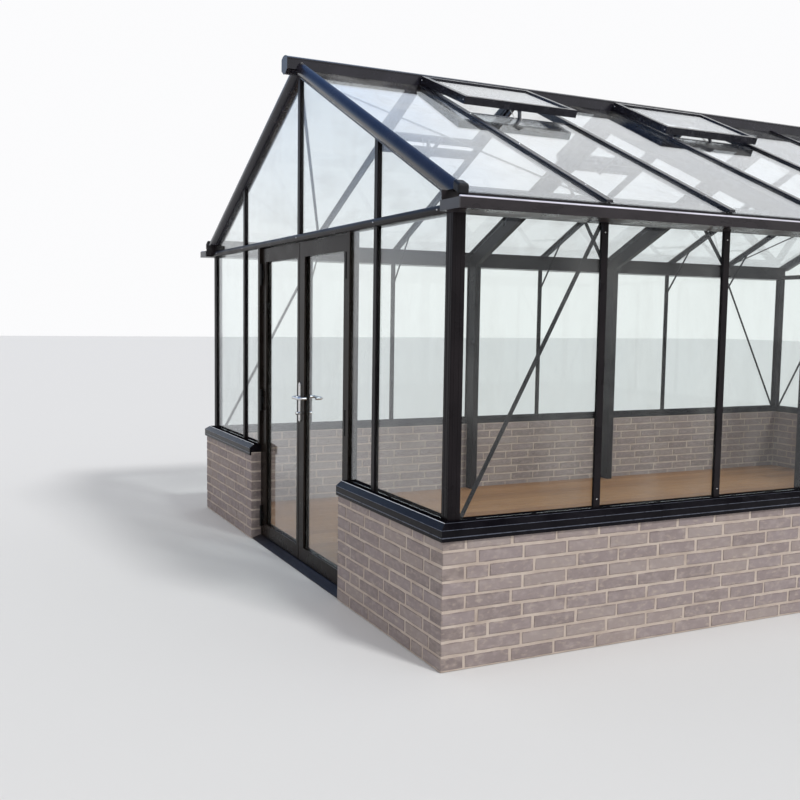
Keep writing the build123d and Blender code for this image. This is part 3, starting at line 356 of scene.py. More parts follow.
def lath(bm, start, run, width, thick):
    """A straight strip spanned by three edges from one corner."""
    made = bmesh.ops.create_cube(bm, size=1.0)["verts"]
    run, width, thick = Vector(run), Vector(width), Vector(thick)
    middle = Vector(start) + (run + width + thick) / 2
    shape = Matrix((run, width, thick)).transposed().to_4x4()
    bmesh.ops.transform(bm, matrix=Matrix.Translation(middle) @ shape, verts=made)


bearers = coat("bearers", 14.0, [(0.3, (0.030, 0.020, 0.013)), (0.7, (0.060, 0.040, 0.026))], (0.8, 0.95))
relief(bearers, mottle(bearers, 14.0), 0.001)
dress(bearers, "floor")

oiled_wood = new_finish("oiled_wood")
fibres = mottle(oiled_wood, 60.0, stretch=(6.0, 0.22, 1.0), detail=8.0)
veins = mottle(oiled_wood, 16.0, stretch=(5.0, 0.35, 1.0), detail=5.0)
plank_colour = shades(
    oiled_wood,
    carried(oiled_wood, "plank"),
    [(0.0, (0.247, 0.110, 0.039)), (0.5, (0.342, 0.163, 0.061)), (1.0, (0.428, 0.220, 0.087))],
)
grained = overlay(
    oiled_wood,
    spread(oiled_wood, veins, 0.0, 0.6, 0.42, 0.68),
    plank_colour,
    shades(oiled_wood, fibres, [(0.3, (0.143, 0.062, 0.022)), (0.7, (0.342, 0.176, 0.074))]),
)
surface(oiled_wood, grained, spread(oiled_wood, fibres, 0.42, 0.62))
relief(oiled_wood, fibres, 0.0008, 0.7)

boards = bmesh.new()
planks = []
for strip in range(int((2 * FLOOR_X + BOARD_GAP) / (BOARD + BOARD_GAP))):
    left = -FLOOR_X + BUTT_GAP + strip * (BOARD + BOARD_GAP)
    first = -FLOOR_Y + FIRST_BUTT + BUTT_STEP * ((strip * 7) % 5)
    second = min(first + BOARD_LENGTH, FLOOR_Y - SHORTEST)
    butts = [-FLOOR_Y + BUTT_GAP, first, second, FLOOR_Y - BUTT_GAP]
    for near, far in zip(butts[:-1], butts[1:]):
        start = (left, near, FLOOR_TOP - BOARD_SUNK)
        lath(boards, start, (BOARD, 0, 0), (0, far - near - BUTT_GAP, 0), (0, 0, BOARD_THICK))
        planks.append(mason.random())
piece = fit(boards, "floor_boards", oiled_wood, soften=0.0012)
per_board = len(piece.data.vertices) // len(planks)
carry(piece, "plank", [share for share in planks for corner in range(per_board)])

# Sill. A folded and ribbed aluminium profile caps the wall, mitred at the corners, powder-coated
# satin near-black. Its beads are coloured pale blue as a painted highlight of the sky, and the nose by the
# door is near-white as a painted highlight.
SILL_OUT = 0.014
NOSE_OUT = -0.0172
NOSE_TALL = 0.0030
BEAD_SUNK = 0.0005
BEAD_DEEP = 0.002
BEADS = ((SILL_OUT, 0.5960, 0.0040), (SILL_OUT, 0.6300, 0.0024), (NOSE_OUT, 0.6543, 0.0018))
LEDGE_Z = 0.6548

sill_coat = coat(
    "sill_coat",
    7.0,
    [(0.3, (0.0040, 0.0036, 0.0052)), (0.7, (0.0085, 0.0076, 0.0102))],
    (0.13, 0.26),
    detail=6.0,
    specular=0.07,
)
# The flat ledge on top is dull; the upright faces keep a little gloss.
place = sill_coat.node_tree.nodes.new("ShaderNodeTexCoord")
levels = sill_coat.node_tree.nodes.new("ShaderNodeSeparateXYZ")
sill_coat.node_tree.links.new(place.outputs["Object"], levels.inputs["Vector"])
dull_ledge = spread(sill_coat, levels.outputs["Z"], 0.07, 0.0, LEDGE_Z - 0.0003, LEDGE_Z + 0.0003)
sill_coat.node_tree.links.new(dull_ledge, shader_of(sill_coat).inputs["Specular IOR Level"])
relief(sill_coat, mottle(sill_coat, 900.0, detail=2.0), 0.00015, 0.5)
dress(sill_coat, "side_sills", "front_sills", "back_sill")

# The beads' pale blue is a painted highlight: the sky mirrored along their edges.
bead_coat_highlight = coat(
    "bead_coat_highlight", 30.0, [(0.35, (0.042, 0.047, 0.070)), (0.7, (0.100, 0.112, 0.150))], (0.22, 0.4), detail=5.0
)
# Painted highlight: the front nose is near-white and half metallic, to show the bright line of light along
# the sill's edge at the foot of the glass.
sill_nose_highlight = coat(
    "sill_nose_highlight",
    18.0,
    [(0.3, (0.84, 0.84, 0.87)), (0.7, (0.94, 0.94, 0.96))],
    (0.25, 0.40),
    detail=5.0,
    metallic=0.4,
)

beads = bmesh.new()
noses = bmesh.new()
for out, low, tall in BEADS:
    face_x = WALL_X + out - BEAD_SUNK
    face_y = WALL_Y + out - BEAD_SUNK
    front, front_tall = (noses, NOSE_TALL) if out == NOSE_OUT else (beads, tall)
    for side in (1, -1):
        by_corner = (side * face_x, -face_y, low)
        lath(beads, by_corner, (0, 2 * face_y, 0), (side * BEAD_DEEP, 0, 0), (0, 0, tall))
        by_door = (side * PIER_X, -face_y, low)
        lath(front, by_door, (side * (face_x - PIER_X), 0, 0), (0, -BEAD_DEEP, 0), (0, 0, front_tall))
    lath(beads, (-face_x, face_y, low), (2 * face_x, 0, 0), (0, BEAD_DEEP, 0), (0, 0, tall))
fit(beads, "sill_drip_beads", bead_coat_highlight, soften=0.0006)
fit(noses, "front_sill_noses", sill_nose_highlight, soften=0.0004)

# Wall frame. Aluminium corner posts, mullions and beams stand on the sill and are bolted together;
# they have the same satin near-black coat, a little brown in the light.
FRAME_X = 1.927
FRAME_Y = 3.052
SILL_TOP = 0.6553
BEAM_Z = 1.990


def powder_grain(finish, strength):
    """The fine pebbled skin of a powder coat."""
    relief(finish, mottle(finish, 1100.0, detail=2.0), 0.00012, strength)


frame_coat = coat(
    "frame_coat",
    5.0,
    [(0.3, (0.0075, 0.0058, 0.0070)), (0.7, (0.0150, 0.0118, 0.0135))],
    (0.24, 0.40),
    detail=6.0,
    specular=0.1,
)
powder_grain(frame_coat, 0.5)
dress(frame_coat, "corner_posts", "side_mullions", "gable_wall_mullions", "gable_head_mullions")
dress(frame_coat, "gable_beams", "eaves_beams", "portal_frames")

# Die lines. The corner posts are drawn through a die with two narrow raised beads on each outer
# face, which run from the sill to the beam under the same coat.
LINE_WIDE = 0.0035
LINE_DEEP = 0.0016
LINE_SUNK = 0.0004
LINE_INSETS = (0.016, 0.040)

die_lines = bmesh.new()
tall = (0, 0, BEAM_Z - SILL_TOP)
for side in (1, -1):
    for end in (1, -1):
        for inset in LINE_INSETS:
            on_side = (side * (FRAME_X - LINE_SUNK), end * (FRAME_Y - inset), SILL_TOP)
            lath(die_lines, on_side, (side * LINE_DEEP, 0, 0), (0, end * -LINE_WIDE, 0), tall)
            on_gable = (side * (FRAME_X - inset), end * (FRAME_Y - LINE_SUNK), SILL_TOP)
            lath(die_lines, on_gable, (side * -LINE_WIDE, 0, 0), (0, end * LINE_DEEP, 0), tall)
fit(die_lines, "corner_post_die_lines", frame_coat, soften=0.0005)

# Braces. Flat straps stiffen the walls and knee plates the portal frames. They are cut from
# aluminium flat, powder-coated like the frame and bolted at their ends.
brace_coat = coat(
    "brace_coat",
    22.0,
    [(0.3, (0.0060, 0.0052, 0.0066)), (0.75, (0.0150, 0.0130, 0.0160))],
    (0.28, 0.46),
    detail=5.0,
    specular=0.12,
)
dress(brace_coat, "knee_braces", "wall_braces")

# Screws. Small stainless pan heads with a drive recess sit wherever two profiles meet: in the
# gable beams over the mullions, and at the foot and head of each mullion of the long walls.
MODULE = 0.75
BAR_LINES = [MODULE * n for n in range(-3, 4)]
GABLE_LINE = 1.125
BEAM_END = 1.8025
CAP_NOSE = 0.014
BEAM_SCREW_UP = 0.0205
MULLION_SCREW_IN = 0.045
HEAD_SUNK = 0.0004
HEAD_TALL, HEAD_CROWN, DRIVE_RIM = 0.6, 0.72, 0.34  # as shares of the head's radius
DRIVE_DEPTH = 0.55  # as a share of the head's height

stainless = coat(
    "stainless",
    240.0,
    [(0.3, (0.50, 0.49, 0.48)), (0.7, (0.72, 0.71, 0.70))],
    (0.18, 0.36),
    detail=3.0,
    metallic=1.0,
)


def turned_to(direction):
    """Turns what stands on end to a direction."""
    return direction.to_track_quat("Z", "Y").to_matrix().to_4x4()


def screw(bm, seat, outward, radius=0.0045):
    """A pan head seated on a face, with its drive recess."""
    height = radius * HEAD_TALL
    crown = radius * HEAD_CROWN
    made = bmesh.ops.create_cone(
        bm, cap_ends=True, cap_tris=False, segments=12, radius1=radius, radius2=crown, depth=height
    )["verts"]
    caps = {face for vert in made for face in vert.link_faces if len(face.verts) > 4}
    top = max(caps, key=lambda face: face.calc_center_median().z)
    bmesh.ops.inset_individual(bm, faces=[top], thickness=radius * DRIVE_RIM, depth=0.0)
    bmesh.ops.translate(bm, vec=(0, 0, -height * DRIVE_DEPTH), verts=top.verts[:])
    head = {vert for corner in made for edge in corner.link_edges for vert in edge.verts} | set(top.verts)
    outward = Vector(outward)
    place = Matrix.Translation(Vector(seat) + outward.normalized() * (height / 2 - HEAD_SUNK))
    bmesh.ops.transform(bm, matrix=place @ turned_to(outward), verts=list(head))


frame_screws = bmesh.new()
for end in (1, -1):
    for across in (-BEAM_END, -GABLE_LINE, 0.0, GABLE_LINE, BEAM_END):
        screw(frame_screws, (across, end * (FRAME_Y + CAP_NOSE), BEAM_Z + BEAM_SCREW_UP), (0, end, 0))
for line in BAR_LINES:
    for side in (1, -1):
        for height in (SILL_TOP + MULLION_SCREW_IN, BEAM_Z - MULLION_SCREW_IN):
            screw(frame_screws, (side * FRAME_X, line, height), (side, 0, 0), radius=0.004)
fit(frame_screws, "frame_screws", stainless)

# Wall glass: single 4 mm toughened panes, clear and a little green, with a film of dust and rain
# marks. Each is bedded on black rubber seals that show as thin lines round the opening.
GLASS_X = 1.9147
GLASS_Y = 3.0397
CAP_HALF = 0.018
POST_WIDTH = 0.061
JAMB_X = 0.798
BACK_LINE = 0.375
SEAL_WIDTH = 0.0035
SEAL_DEEP = 0.003


def clear_glass(name, tint, film):
    """Glass that lets lamps through, takes up reflections at a slant, and carries a film of dust."""
    glass = bpy.data.materials.new(name)
    glass.use_nodes = True
    tree = glass.node_tree
    tree.nodes.remove(shader_of(glass))
    through = tree.nodes.new("ShaderNodeBsdfTransparent")
    through.inputs["Color"].default_value = (*tint, 1.0)
    gloss = tree.nodes.new("ShaderNodeBsdfGlossy")
    gloss.inputs["Color"].default_value = (0.97, 0.98, 1.0, 1.0)
    gloss.inputs["Roughness"].default_value = 0.015
    slant = tree.nodes.new("ShaderNodeLayerWeight")
    slant.inputs["Blend"].default_value = 0.5
    steep = tree.nodes.new("ShaderNodeMath")
    steep.operation = "POWER"
    steep.inputs[1].default_value = 4.0
    tree.links.new(slant.outputs["Facing"], steep.inputs[0])
    pane = tree.nodes.new("ShaderNodeMixShader")
    tree.links.new(spread(glass, steep.outputs["Value"], 0.020, 0.92, 0.0, 1.0), pane.inputs["Fac"])
    tree.links.new(through.outputs["BSDF"], pane.inputs[1])
    tree.links.new(gloss.outputs["BSDF"], pane.inputs[2])
    dust = tree.nodes.new("ShaderNodeBsdfDiffuse")
    dust.inputs["Color"].default_value = (0.80, 0.80, 0.76, 1.0)
    marks = mottle(glass, 3.5, stretch=(1.0, 1.0, 0.35), detail=8.0)
    dusty = tree.nodes.new("ShaderNodeMixShader")
    tree.links.new(spread(glass, marks, 0.0, film, 0.45, 0.75), dusty.inputs["Fac"])
    tree.links.new(pane.outputs["Shader"], dusty.inputs[1])
    tree.links.new(dust.outputs["BSDF"], dusty.inputs[2])
    waves = tree.nodes.new("ShaderNodeBump")
    waves.inputs["Strength"].default_value = 0.25
    waves.inputs["Distance"].default_value = 0.002
    tree.links.new(mottle(glass, 2.2, detail=1.0), waves.inputs["Height"])
    tree.links.new(waves.outputs["Normal"], gloss.inputs["Normal"])
    output = next(node for node in tree.nodes if node.type == "OUTPUT_MATERIAL")
    tree.links.new(dusty.outputs["Shader"], output.inputs["Surface"])
    return glass


def clear_bays(edge):
    """Where the eight bays of a long side show glass between the caps, from -edge to edge."""
    starts = [-edge] + [line + CAP_HALF for line in BAR_LINES]
    stops = [line - CAP_HALF for line in BAR_LINES] + [edge]
    return list(zip(starts, stops))


def seal_round(bm, start, stop, low, top, width, outward):
    """A mitred seal inside the outline of an upright pane, as thick as the outward vector is long.
    The pane runs from one point to another on plan, and from low to top."""
    corners = [(*start, low), (*stop, low), (*stop, top), (*start, top)]
    pane = bm.faces.new([bm.verts.new(corner) for corner in corners])
    rim = bmesh.ops.inset_region(
        bm, faces=[pane], thickness=width, use_even_offset=True, use_boundary=True
    )["faces"]
    bmesh.ops.delete(bm, geom=[pane], context="FACES")
    grown = bmesh.ops.extrude_face_region(bm, geom=rim, use_keep_orig=True)["geom"]
    outer = [item for item in grown if isinstance(item, bmesh.types.BMVert)]
    bmesh.ops.translate(bm, vec=Vector(outward), verts=outer)


wall_panes = clear_glass("wall_panes", (0.955, 0.972, 0.965), 0.05)
dress(wall_panes, "side_wall_glass", "front_glass", "back_glass")

rubber = coat(
    "rubber", 60.0, [(0.3, (0.008, 0.008, 0.008)), (0.7, (0.020, 0.019, 0.019))], (0.55, 0.8), detail=5.0
)

seals = bmesh.new()
for side in (1, -1):
    x = side * GLASS_X
    for near, far in clear_bays(FRAME_Y - POST_WIDTH):
        seal_round(seals, (x, near), (x, far), SILL_TOP, BEAM_Z, SEAL_WIDTH, (side * SEAL_DEEP, 0, 0))
beside_post = (GABLE_LINE + CAP_HALF, FRAME_X - POST_WIDTH)
front_bays = [(JAMB_X, GABLE_LINE - CAP_HALF), beside_post]
back_bays = [(BACK_LINE + CAP_HALF, GABLE_LINE - CAP_HALF), beside_post]
gable_bays = [(-1, side * low, side * high) for low, high in front_bays for side in (1, -1)]
gable_bays.append((1, -BACK_LINE + CAP_HALF, BACK_LINE - CAP_HALF))
gable_bays += [(1, side * low, side * high) for low, high in back_bays for side in (1, -1)]
for end, low, high in gable_bays:
    y = end * GLASS_Y
    seal_round(seals, (low, y), (high, y), SILL_TOP, BEAM_Z, SEAL_WIDTH, (0, end * SEAL_DEEP, 0))
fit(seals, "wall_glazing_seals", rubber)

# Roof frame. A crowned ridge, glazing bars on the module and rounded barges over the gable
# rafters, all coated aluminium; the barges are polished by the weather and mirror the sky.
PITCH = math.radians(25.5)
ROOF_FOOT_Z = 2.090
APEX_Z = ROOF_FOOT_Z + FRAME_X * math.tan(PITCH)
DOWN = Vector((math.cos(PITCH), 0.0, -math.sin(PITCH)))
OUT = Vector((math.sin(PITCH), 0.0, math.cos(PITCH)))


def on_slope(side, s, y, q):
    """A point s down the roof from the apex and q above its glass, on the right or left slope."""
    point = Vector((0.0, y, APEX_Z)) + DOWN * s + OUT * q
    return Vector((side * point.x, point.y, point.z))


roof_coat = coat(
    "roof_coat",
    8.0,
    [(0.3, (0.0080, 0.0070, 0.0120)), (0.7, (0.0165, 0.0148, 0.0225))],
    (0.16, 0.30),
    detail=6.0,
    specular=0.4,
)
powder_grain(roof_coat, 0.4)
dress(roof_coat, "ridge", "ridge_ends", "right_roof_bars", "left_roof_bars")
dress(roof_coat, "right_gable_rafters", "left_gable_rafters")

# Foot caps. A moulded cap of black plastic with rounded edges closes the foot of each barge and
# reaches down behind the gutter's edge.
FOOT_X, FOOT_Y, FOOT_Z = 1.983, 3.090, 2.074
FOOT_RUN, FOOT_WIDTH, FOOT_TALL, FOOT_LEAN = 0.058, 0.052, 0.046, 0.002
FOOT_ROUND = 0.009

cap_plastic = coat(
    "cap_plastic",
    90.0,
    [(0.3, (0.006, 0.006, 0.008)), (0.7, (0.013, 0.013, 0.016))],
    (0.38, 0.55),
    specular=0.2,
)
foot_caps = bmesh.new()
for side in (1, -1):
    for end in (1, -1):
        lath(
            foot_caps,
            (side * FOOT_X, end * FOOT_Y, FOOT_Z),
            (side * DOWN.x * FOOT_RUN, 0, DOWN.z * FOOT_RUN),
            (0, end * -FOOT_WIDTH, 0),
            (side * FOOT_LEAN, 0, FOOT_TALL),
        )
ease_edges(foot_caps, FOOT_ROUND, segments=3)
fit(foot_caps, "barge_foot_caps", cap_plastic)

# Bar screws. Three stainless screws go through the cap of each glazing bar into the bar below,
# and clamp the glass between the two.
CAP_OUT = 0.012
DOWN_BAR = (0.72, 1.30, 1.95)

bar_screws = bmesh.new()
for line in BAR_LINES:
    for side in (1, -1):
        for s in DOWN_BAR:
            screw(bar_screws, on_slope(side, s, line, CAP_OUT), (side * OUT.x, 0, OUT.z))
fit(bar_screws, "roof_bar_screws", stainless)

# Roof glass: clear panes that run from the ridge to the gutter, held down along the bars by
# black rubber strips. It carries more dust than the walls and mirrors the pale sky.
VENT_BAYS = {2: 3.0, 4: 0.5}  # how far each pair of vents leaves the slope, in degrees
RAFTER_EDGE = 0.025
RIDGE_S = 0.052
VENT_SILL_S = 0.665
EAVE_S = 1.952 / math.cos(PITCH)

roof_panes = clear_glass("roof_panes", (0.955, 0.970, 0.975), 0.10)
dress(roof_panes, "right_roof_glass", "left_roof_glass", "vent_glass")

roof_seals = bmesh.new()
for bay, (near, far) in enumerate(clear_bays(FRAME_Y - RAFTER_EDGE), start=1):
    top = VENT_SILL_S if bay in VENT_BAYS else RIDGE_S
    for side in (1, -1):
        thick = (side * OUT.x * SEAL_DEEP, 0, OUT.z * SEAL_DEEP)
        for y, across in ((near, SEAL_WIDTH), (far, -SEAL_WIDTH)):
            head = on_slope(side, top, y, 0.0)
            foot = on_slope(side, EAVE_S, y, 0.0)
            lath(roof_seals, head, foot - head, (0, across, 0), thick)
fit(roof_seals, "roof_glazing_seals", rubber)

# Roof vents, two pairs, hung on the ridge over bays two and four. Their box frames are screwed at
# the corners, and each is pushed open by a cylinder opener with two bright rods beside its arm.
VENT_LENGTH = 0.608
VENT_LAP = 0.018
VENT_HINGE_X = 0.0463
VENT_HINGE_UP = 0.014
CORNER_SCREW_IN = 0.018
CORNER_SCREW_UP = 0.022
ROD_RADIUS = 0.0028
ROD_SHIFT = 0.026
ROD_LEAN = 0.035
ROD_FOOT_S, ROD_FOOT_Q = 0.655, -0.006
ROD_HEAD_IN, ROD_HEAD_Q = 0.050, 0.004

vent_coat = coat(
    "vent_coat",
    12.0,
    [(0.3, (0.0080, 0.0078, 0.0120)), (0.7, (0.0160, 0.0155, 0.0230))],
    (0.16, 0.32),
    stretch=(1.0, 1.0, 0.5),
    detail=6.0,
    specular=0.3,
)
dress(vent_coat, "vent_frames", "vent_sills")
opener_coat = coat(
    "opener_coat", 70.0, [(0.3, (0.05, 0.05, 0.055)), (0.7, (0.13, 0.13, 0.14))], (0.3, 0.5), metallic=0.6
)
dress(opener_coat, "vent_openers")


def on_vent(side, opened, s, y, q):
    """A point s down an open vent and q above its underside."""
    angle = PITCH - math.radians(opened)
    hinge_z = APEX_Z - VENT_HINGE_X * math.tan(PITCH) + VENT_HINGE_UP / math.cos(PITCH)
    x = VENT_HINGE_X + s * math.cos(angle) + q * math.sin(angle)
    return Vector((side * x, y, hinge_z - s * math.sin(angle) + q * math.cos(angle)))


def round_bar(bm, radius, length, place, segments):
    """A straight round bar, closed at its ends."""
    made = bmesh.ops.create_cone(
        bm, cap_ends=True, segments=segments, radius1=radius, radius2=radius, depth=length
    )["verts"]
    bmesh.ops.transform(bm, matrix=place, verts=made)


vent_screws = bmesh.new()
opener_rods = bmesh.new()
for bay, opened in VENT_BAYS.items():
    near = BAR_LINES[bay - 2] - VENT_LAP
    far = near + MODULE + 2 * VENT_LAP
    middle = (near + far) / 2
    for side in (1, -1):
        for y, outward in ((near, -1), (far, 1)):
            for s in (CORNER_SCREW_IN, VENT_LENGTH - CORNER_SCREW_IN):
                screw(vent_screws, on_vent(side, opened, s, y, CORNER_SCREW_UP), (0, outward, 0))
        for shift in (-ROD_SHIFT, ROD_SHIFT):
            foot = on_slope(side, ROD_FOOT_S, middle + shift, ROD_FOOT_Q)
            head = on_vent(side, opened, VENT_LENGTH - ROD_HEAD_IN, middle + shift - ROD_LEAN, ROD_HEAD_Q)
            place = Matrix.Translation((head + foot) / 2) @ turned_to(head - foot)
            round_bar(opener_rods, ROD_RADIUS, (head - foot).length, place, 8)
fit(vent_screws, "vent_screws", stainless)
fit(opener_rods, "vent_opener_rods", stainless)

# Box gutters along both eaves, near-black like the frame, with pressed end caps a little paler.
# The front lip is rolled over and carries a painted highlight: its coat is pale lilac metal, standing for
# the sun's glint along the roll.
GUTTER_FACE = 2.093
GUTTER_TOP = 2.035
GUTTER_Y = 3.112
LIP_RADIUS = 0.006
LIP_UP = 0.002

gutter_coat = coat(
    "gutter_coat",
    6.0,
    [(0.3, (0.018, 0.015, 0.017)), (0.7, (0.033, 0.028, 0.031))],
    (0.22, 0.38),
    stretch=(1.0, 1.0, 3.0),
    detail=6.0,
    specular=0.2,
)
dress(gutter_coat, "right_gutter", "left_gutter")
end_coat = coat(
    "end_coat", 24.0, [(0.3, (0.022, 0.021, 0.025)), (0.7, (0.036, 0.034, 0.040))], (0.3, 0.45), detail=5.0
)
dress(end_coat, "gutter_ends")
# Painted highlight: the roll is coloured pale and mostly metallic, for the glint of the sun along it.
lip_highlight = coat(
    "lip_highlight",
    18.0,
    [(0.3, (0.50, 0.48, 0.55)), (0.7, (0.72, 0.70, 0.78))],
    (0.25, 0.40),
    stretch=(1.0, 0.3, 1.0),
    detail=5.0,
    metallic=0.7,
)

lips = bmesh.new()
for side in (1, -1):
    middle = Matrix.Translation((side * (GUTTER_FACE - LIP_RADIUS), 0, GUTTER_TOP + LIP_UP))
    round_bar(lips, LIP_RADIUS, 2 * GUTTER_Y, middle @ Matrix.Rotation(math.pi / 2, 4, "X"), 16)
fit(lips, "gutter_rolled_lips", lip_highlight)

# Doors. Two leaves of coated aluminium with double-glazed panes, hung on jambs in the front gable,
# over a ramped aluminium threshold. Grey spacer bars show round the panes behind black seals.
PANE_LOW, PANE_TOP = 0.116, 1.895
PANE_IN, PANE_OUT = 0.0625, 0.677
PANE_FRONT, PANE_BACK = -3.0150, -3.0110
DOOR_SEAL = 0.006
SPACER_WIDTH = 0.004
SPACER_DEEP = 0.0012

# Near-black coat, lifted and warmed by a painted reflection of the warm deck in front of the doors.
door_coat_and_reflection = coat(
    "door_coat_and_reflection",
    6.0,
    [(0.3, (0.0110, 0.0080, 0.0068)), (0.7, (0.0220, 0.0165, 0.0138))],
    (0.22, 0.38),
    detail=7.0,
    specular=0.08,
)
powder_grain(door_coat_and_reflection, 0.5)
dress(door_coat_and_reflection, "door_jambs", "right_door_frame", "left_door_frame")

door_panes = clear_glass("door_panes", (0.950, 0.968, 0.960), 0.05)
dress(door_panes, "right_door_glass", "left_door_glass")

spacer_metal = coat(
    "spacer_metal", 120.0, [(0.3, (0.36, 0.35, 0.34)), (0.7, (0.55, 0.54, 0.52))], (0.3, 0.5), metallic=0.8
)

for side, name in ((1, "right"), (-1, "left")):
    spacers = bmesh.new()
    door_seals = bmesh.new()
    for y, outward in ((PANE_FRONT, -1), (PANE_BACK, 1)):
        for bars, inset, width, deep in (
            (door_seals, 0.0, DOOR_SEAL, DOOR_SEAL),
            (spacers, DOOR_SEAL, SPACER_WIDTH, SPACER_DEEP),
        ):
            start = (side * (PANE_IN + inset), y)
            stop = (side * (PANE_OUT - inset), y)
            seal_round(bars, start, stop, PANE_LOW + inset, PANE_TOP - inset, width, (0, outward * deep, 0))
    fit(spacers, name + "_pane_spacers", spacer_metal, name + "_leaf")
    fit(door_seals, name + "_pane_seals", rubber, name + "_leaf")

# Hinges. Three black-coated steel hinges a leaf, knuckled round their pins. Countersunk black
# screws hold each plate, two in the leaf and four in the jamb.
HINGE_HEIGHTS = (0.165, 0.965, 1.815)
HINGE_FACE = -3.038
LEAF_SCREW_X, LEAF_STEPS = 0.725, (-0.014, 0.014)
JAMB_SCREW_X, JAMB_STEPS = 0.7565, (-0.060, -0.036, 0.036, 0.060)

hinge_coat = coat(
    "hinge_coat",
    80.0,
    [(0.3, (0.0025, 0.0025, 0.0028)), (0.7, (0.007, 0.0065, 0.0065))],
    (0.25, 0.42),
    specular=0.2,
)
dress(hinge_coat, "jamb_hinges", "right_leaf_hinges", "left_leaf_hinges")

jamb_screws = bmesh.new()
for side, name in ((1, "right"), (-1, "left")):
    leaf_screws = bmesh.new()
    for height in HINGE_HEIGHTS:
        for step in LEAF_STEPS:
            seat = (side * LEAF_SCREW_X, HINGE_FACE, height + step)
            screw(leaf_screws, seat, (0, -1, 0), radius=0.0038)
        for step in JAMB_STEPS:
            seat = (side * JAMB_SCREW_X, HINGE_FACE, height + step)
            screw(jamb_screws, seat, (0, -1, 0), radius=0.0032)
    fit(leaf_screws, name + "_leaf_hinge_screws", hinge_coat, name + "_leaf")
fit(jamb_screws, "jamb_hinge_screws", hinge_coat)

# Lever set. Long plates and return levers of brushed stainless steel on both faces of the leaf,
# held by a screw at each end of the plates, with a lock cylinder below the lever.
PLATE_X = 0.003
PLATE_OUTSIDE, PLATE_INSIDE = -3.041, -2.985
PLATE_SCREWS = (1.117, 0.913)
CYLINDER_OUT = 0.024
KEY_Z, KEY_WIDTH, KEY_TALL = 0.939, 0.0024, 0.012
KEY_SUNK, KEY_DEEP = 0.001, 0.0014

brushed_steel = coat(
    "brushed_steel",
    90.0,
    [(0.3, (0.56, 0.55, 0.54)), (0.7, (0.76, 0.75, 0.74))],
    (0.14, 0.30),
    stretch=(1.0, 1.0, 12.0),
    metallic=1.0,
)
dress(brushed_steel, "lever_plates", "door_lever")

plate_screws = bmesh.new()
key_slots = bmesh.new()
for face, outward in ((PLATE_OUTSIDE, -1), (PLATE_INSIDE, 1)):
    for height in PLATE_SCREWS:
        screw(plate_screws, (PLATE_X, face, height), (0, outward, 0), radius=0.0042)
    # Each key slot is a black strip standing proud of the cylinder face: painted shade for the dark keyway.
    start = (PLATE_X - KEY_WIDTH / 2, face + outward * CYLINDER_OUT - outward * KEY_SUNK, KEY_Z)
    lath(key_slots, start, (KEY_WIDTH, 0, 0), (0, outward * KEY_DEEP, 0), (0, 0, KEY_TALL))
fit(plate_screws, "lever_plate_screws", stainless, "right_leaf")
fit(key_slots, "lock_key_slots", hinge_coat, "right_leaf", soften=0.0003)

# Threshold. A dark anodised aluminium ramp lies between the piers under the doors, drawn in one
# piece with five fine grip ribs along it; feet have rubbed it paler in places.
RAMP_Y, RAMP_Z = -3.093, 0.004
RAMP_RUN, RAMP_RISE = 0.060, 0.021
RIB_WIDE, RIB_TALL, RIB_SUNK = 0.0025, 0.0014, 0.0004
RIB_TILT = 0.0009
RIB_CLEAR = 0.002
RIB_COUNT, FIRST_RIB, RIB_STEP = 5, 0.12, 0.17  # the last two as shares of the ramp

anodised = coat(
    "anodised",
    16.0,
    [(0.3, (0.018, 0.015, 0.018)), (0.6, (0.034, 0.029, 0.033)), (0.8, (0.070, 0.062, 0.066))],
    (0.32, 0.52),
    detail=6.0,
    metallic=0.5,
)
dress(anodised, "threshold")

ribs = bmesh.new()
for n in range(RIB_COUNT):
    share = FIRST_RIB + RIB_STEP * n
    start = (-PIER_X + RIB_CLEAR, RAMP_Y + share * RAMP_RUN, RAMP_Z + share * RAMP_RISE - RIB_SUNK)
    lath(ribs, start, (2 * (PIER_X - RIB_CLEAR), 0, 0), (0, RIB_WIDE, RIB_TILT), (0, 0, RIB_TALL))
fit(ribs, "threshold_ribs", anodised, soften=0.0003)

# Studio: a pale floor and sky, one soft lamp over the long wall, and a camera at standing
# height near the door corner, whose place was solved from the brick joints and glazing lines.
EYE = (5.5507, -5.0569, 1.5432)
YAW, TILT, ROLL = -1.1175, -0.0862, 0.0145
FOCAL_PIXELS, PICTURE_PIXELS, FILM_WIDTH = 961.63, 800.0, 36.0

forward = Vector((math.sin(YAW) * math.cos(TILT), math.cos(YAW) * math.cos(TILT), math.sin(TILT)))
level_right = Vector((math.cos(YAW), -math.sin(YAW), 0.0))
level_up = level_right.cross(forward)
camera_right = level_right * math.cos(ROLL) + level_up * math.sin(ROLL)
camera_up = level_up * math.cos(ROLL) - level_right * math.sin(ROLL)
camera_data = bpy.data.cameras.new("camera")
camera_data.sensor_width = FILM_WIDTH
camera_data.lens = FILM_WIDTH * FOCAL_PIXELS / PICTURE_PIXELS
camera = bpy.data.objects.new("camera", camera_data)
axes = Matrix((camera_right, camera_up, -forward)).transposed()
camera.matrix_world = Matrix.Translation(EYE) @ axes.to_4x4()
bpy.context.scene.collection.objects.link(camera)
bpy.context.scene.camera = camera

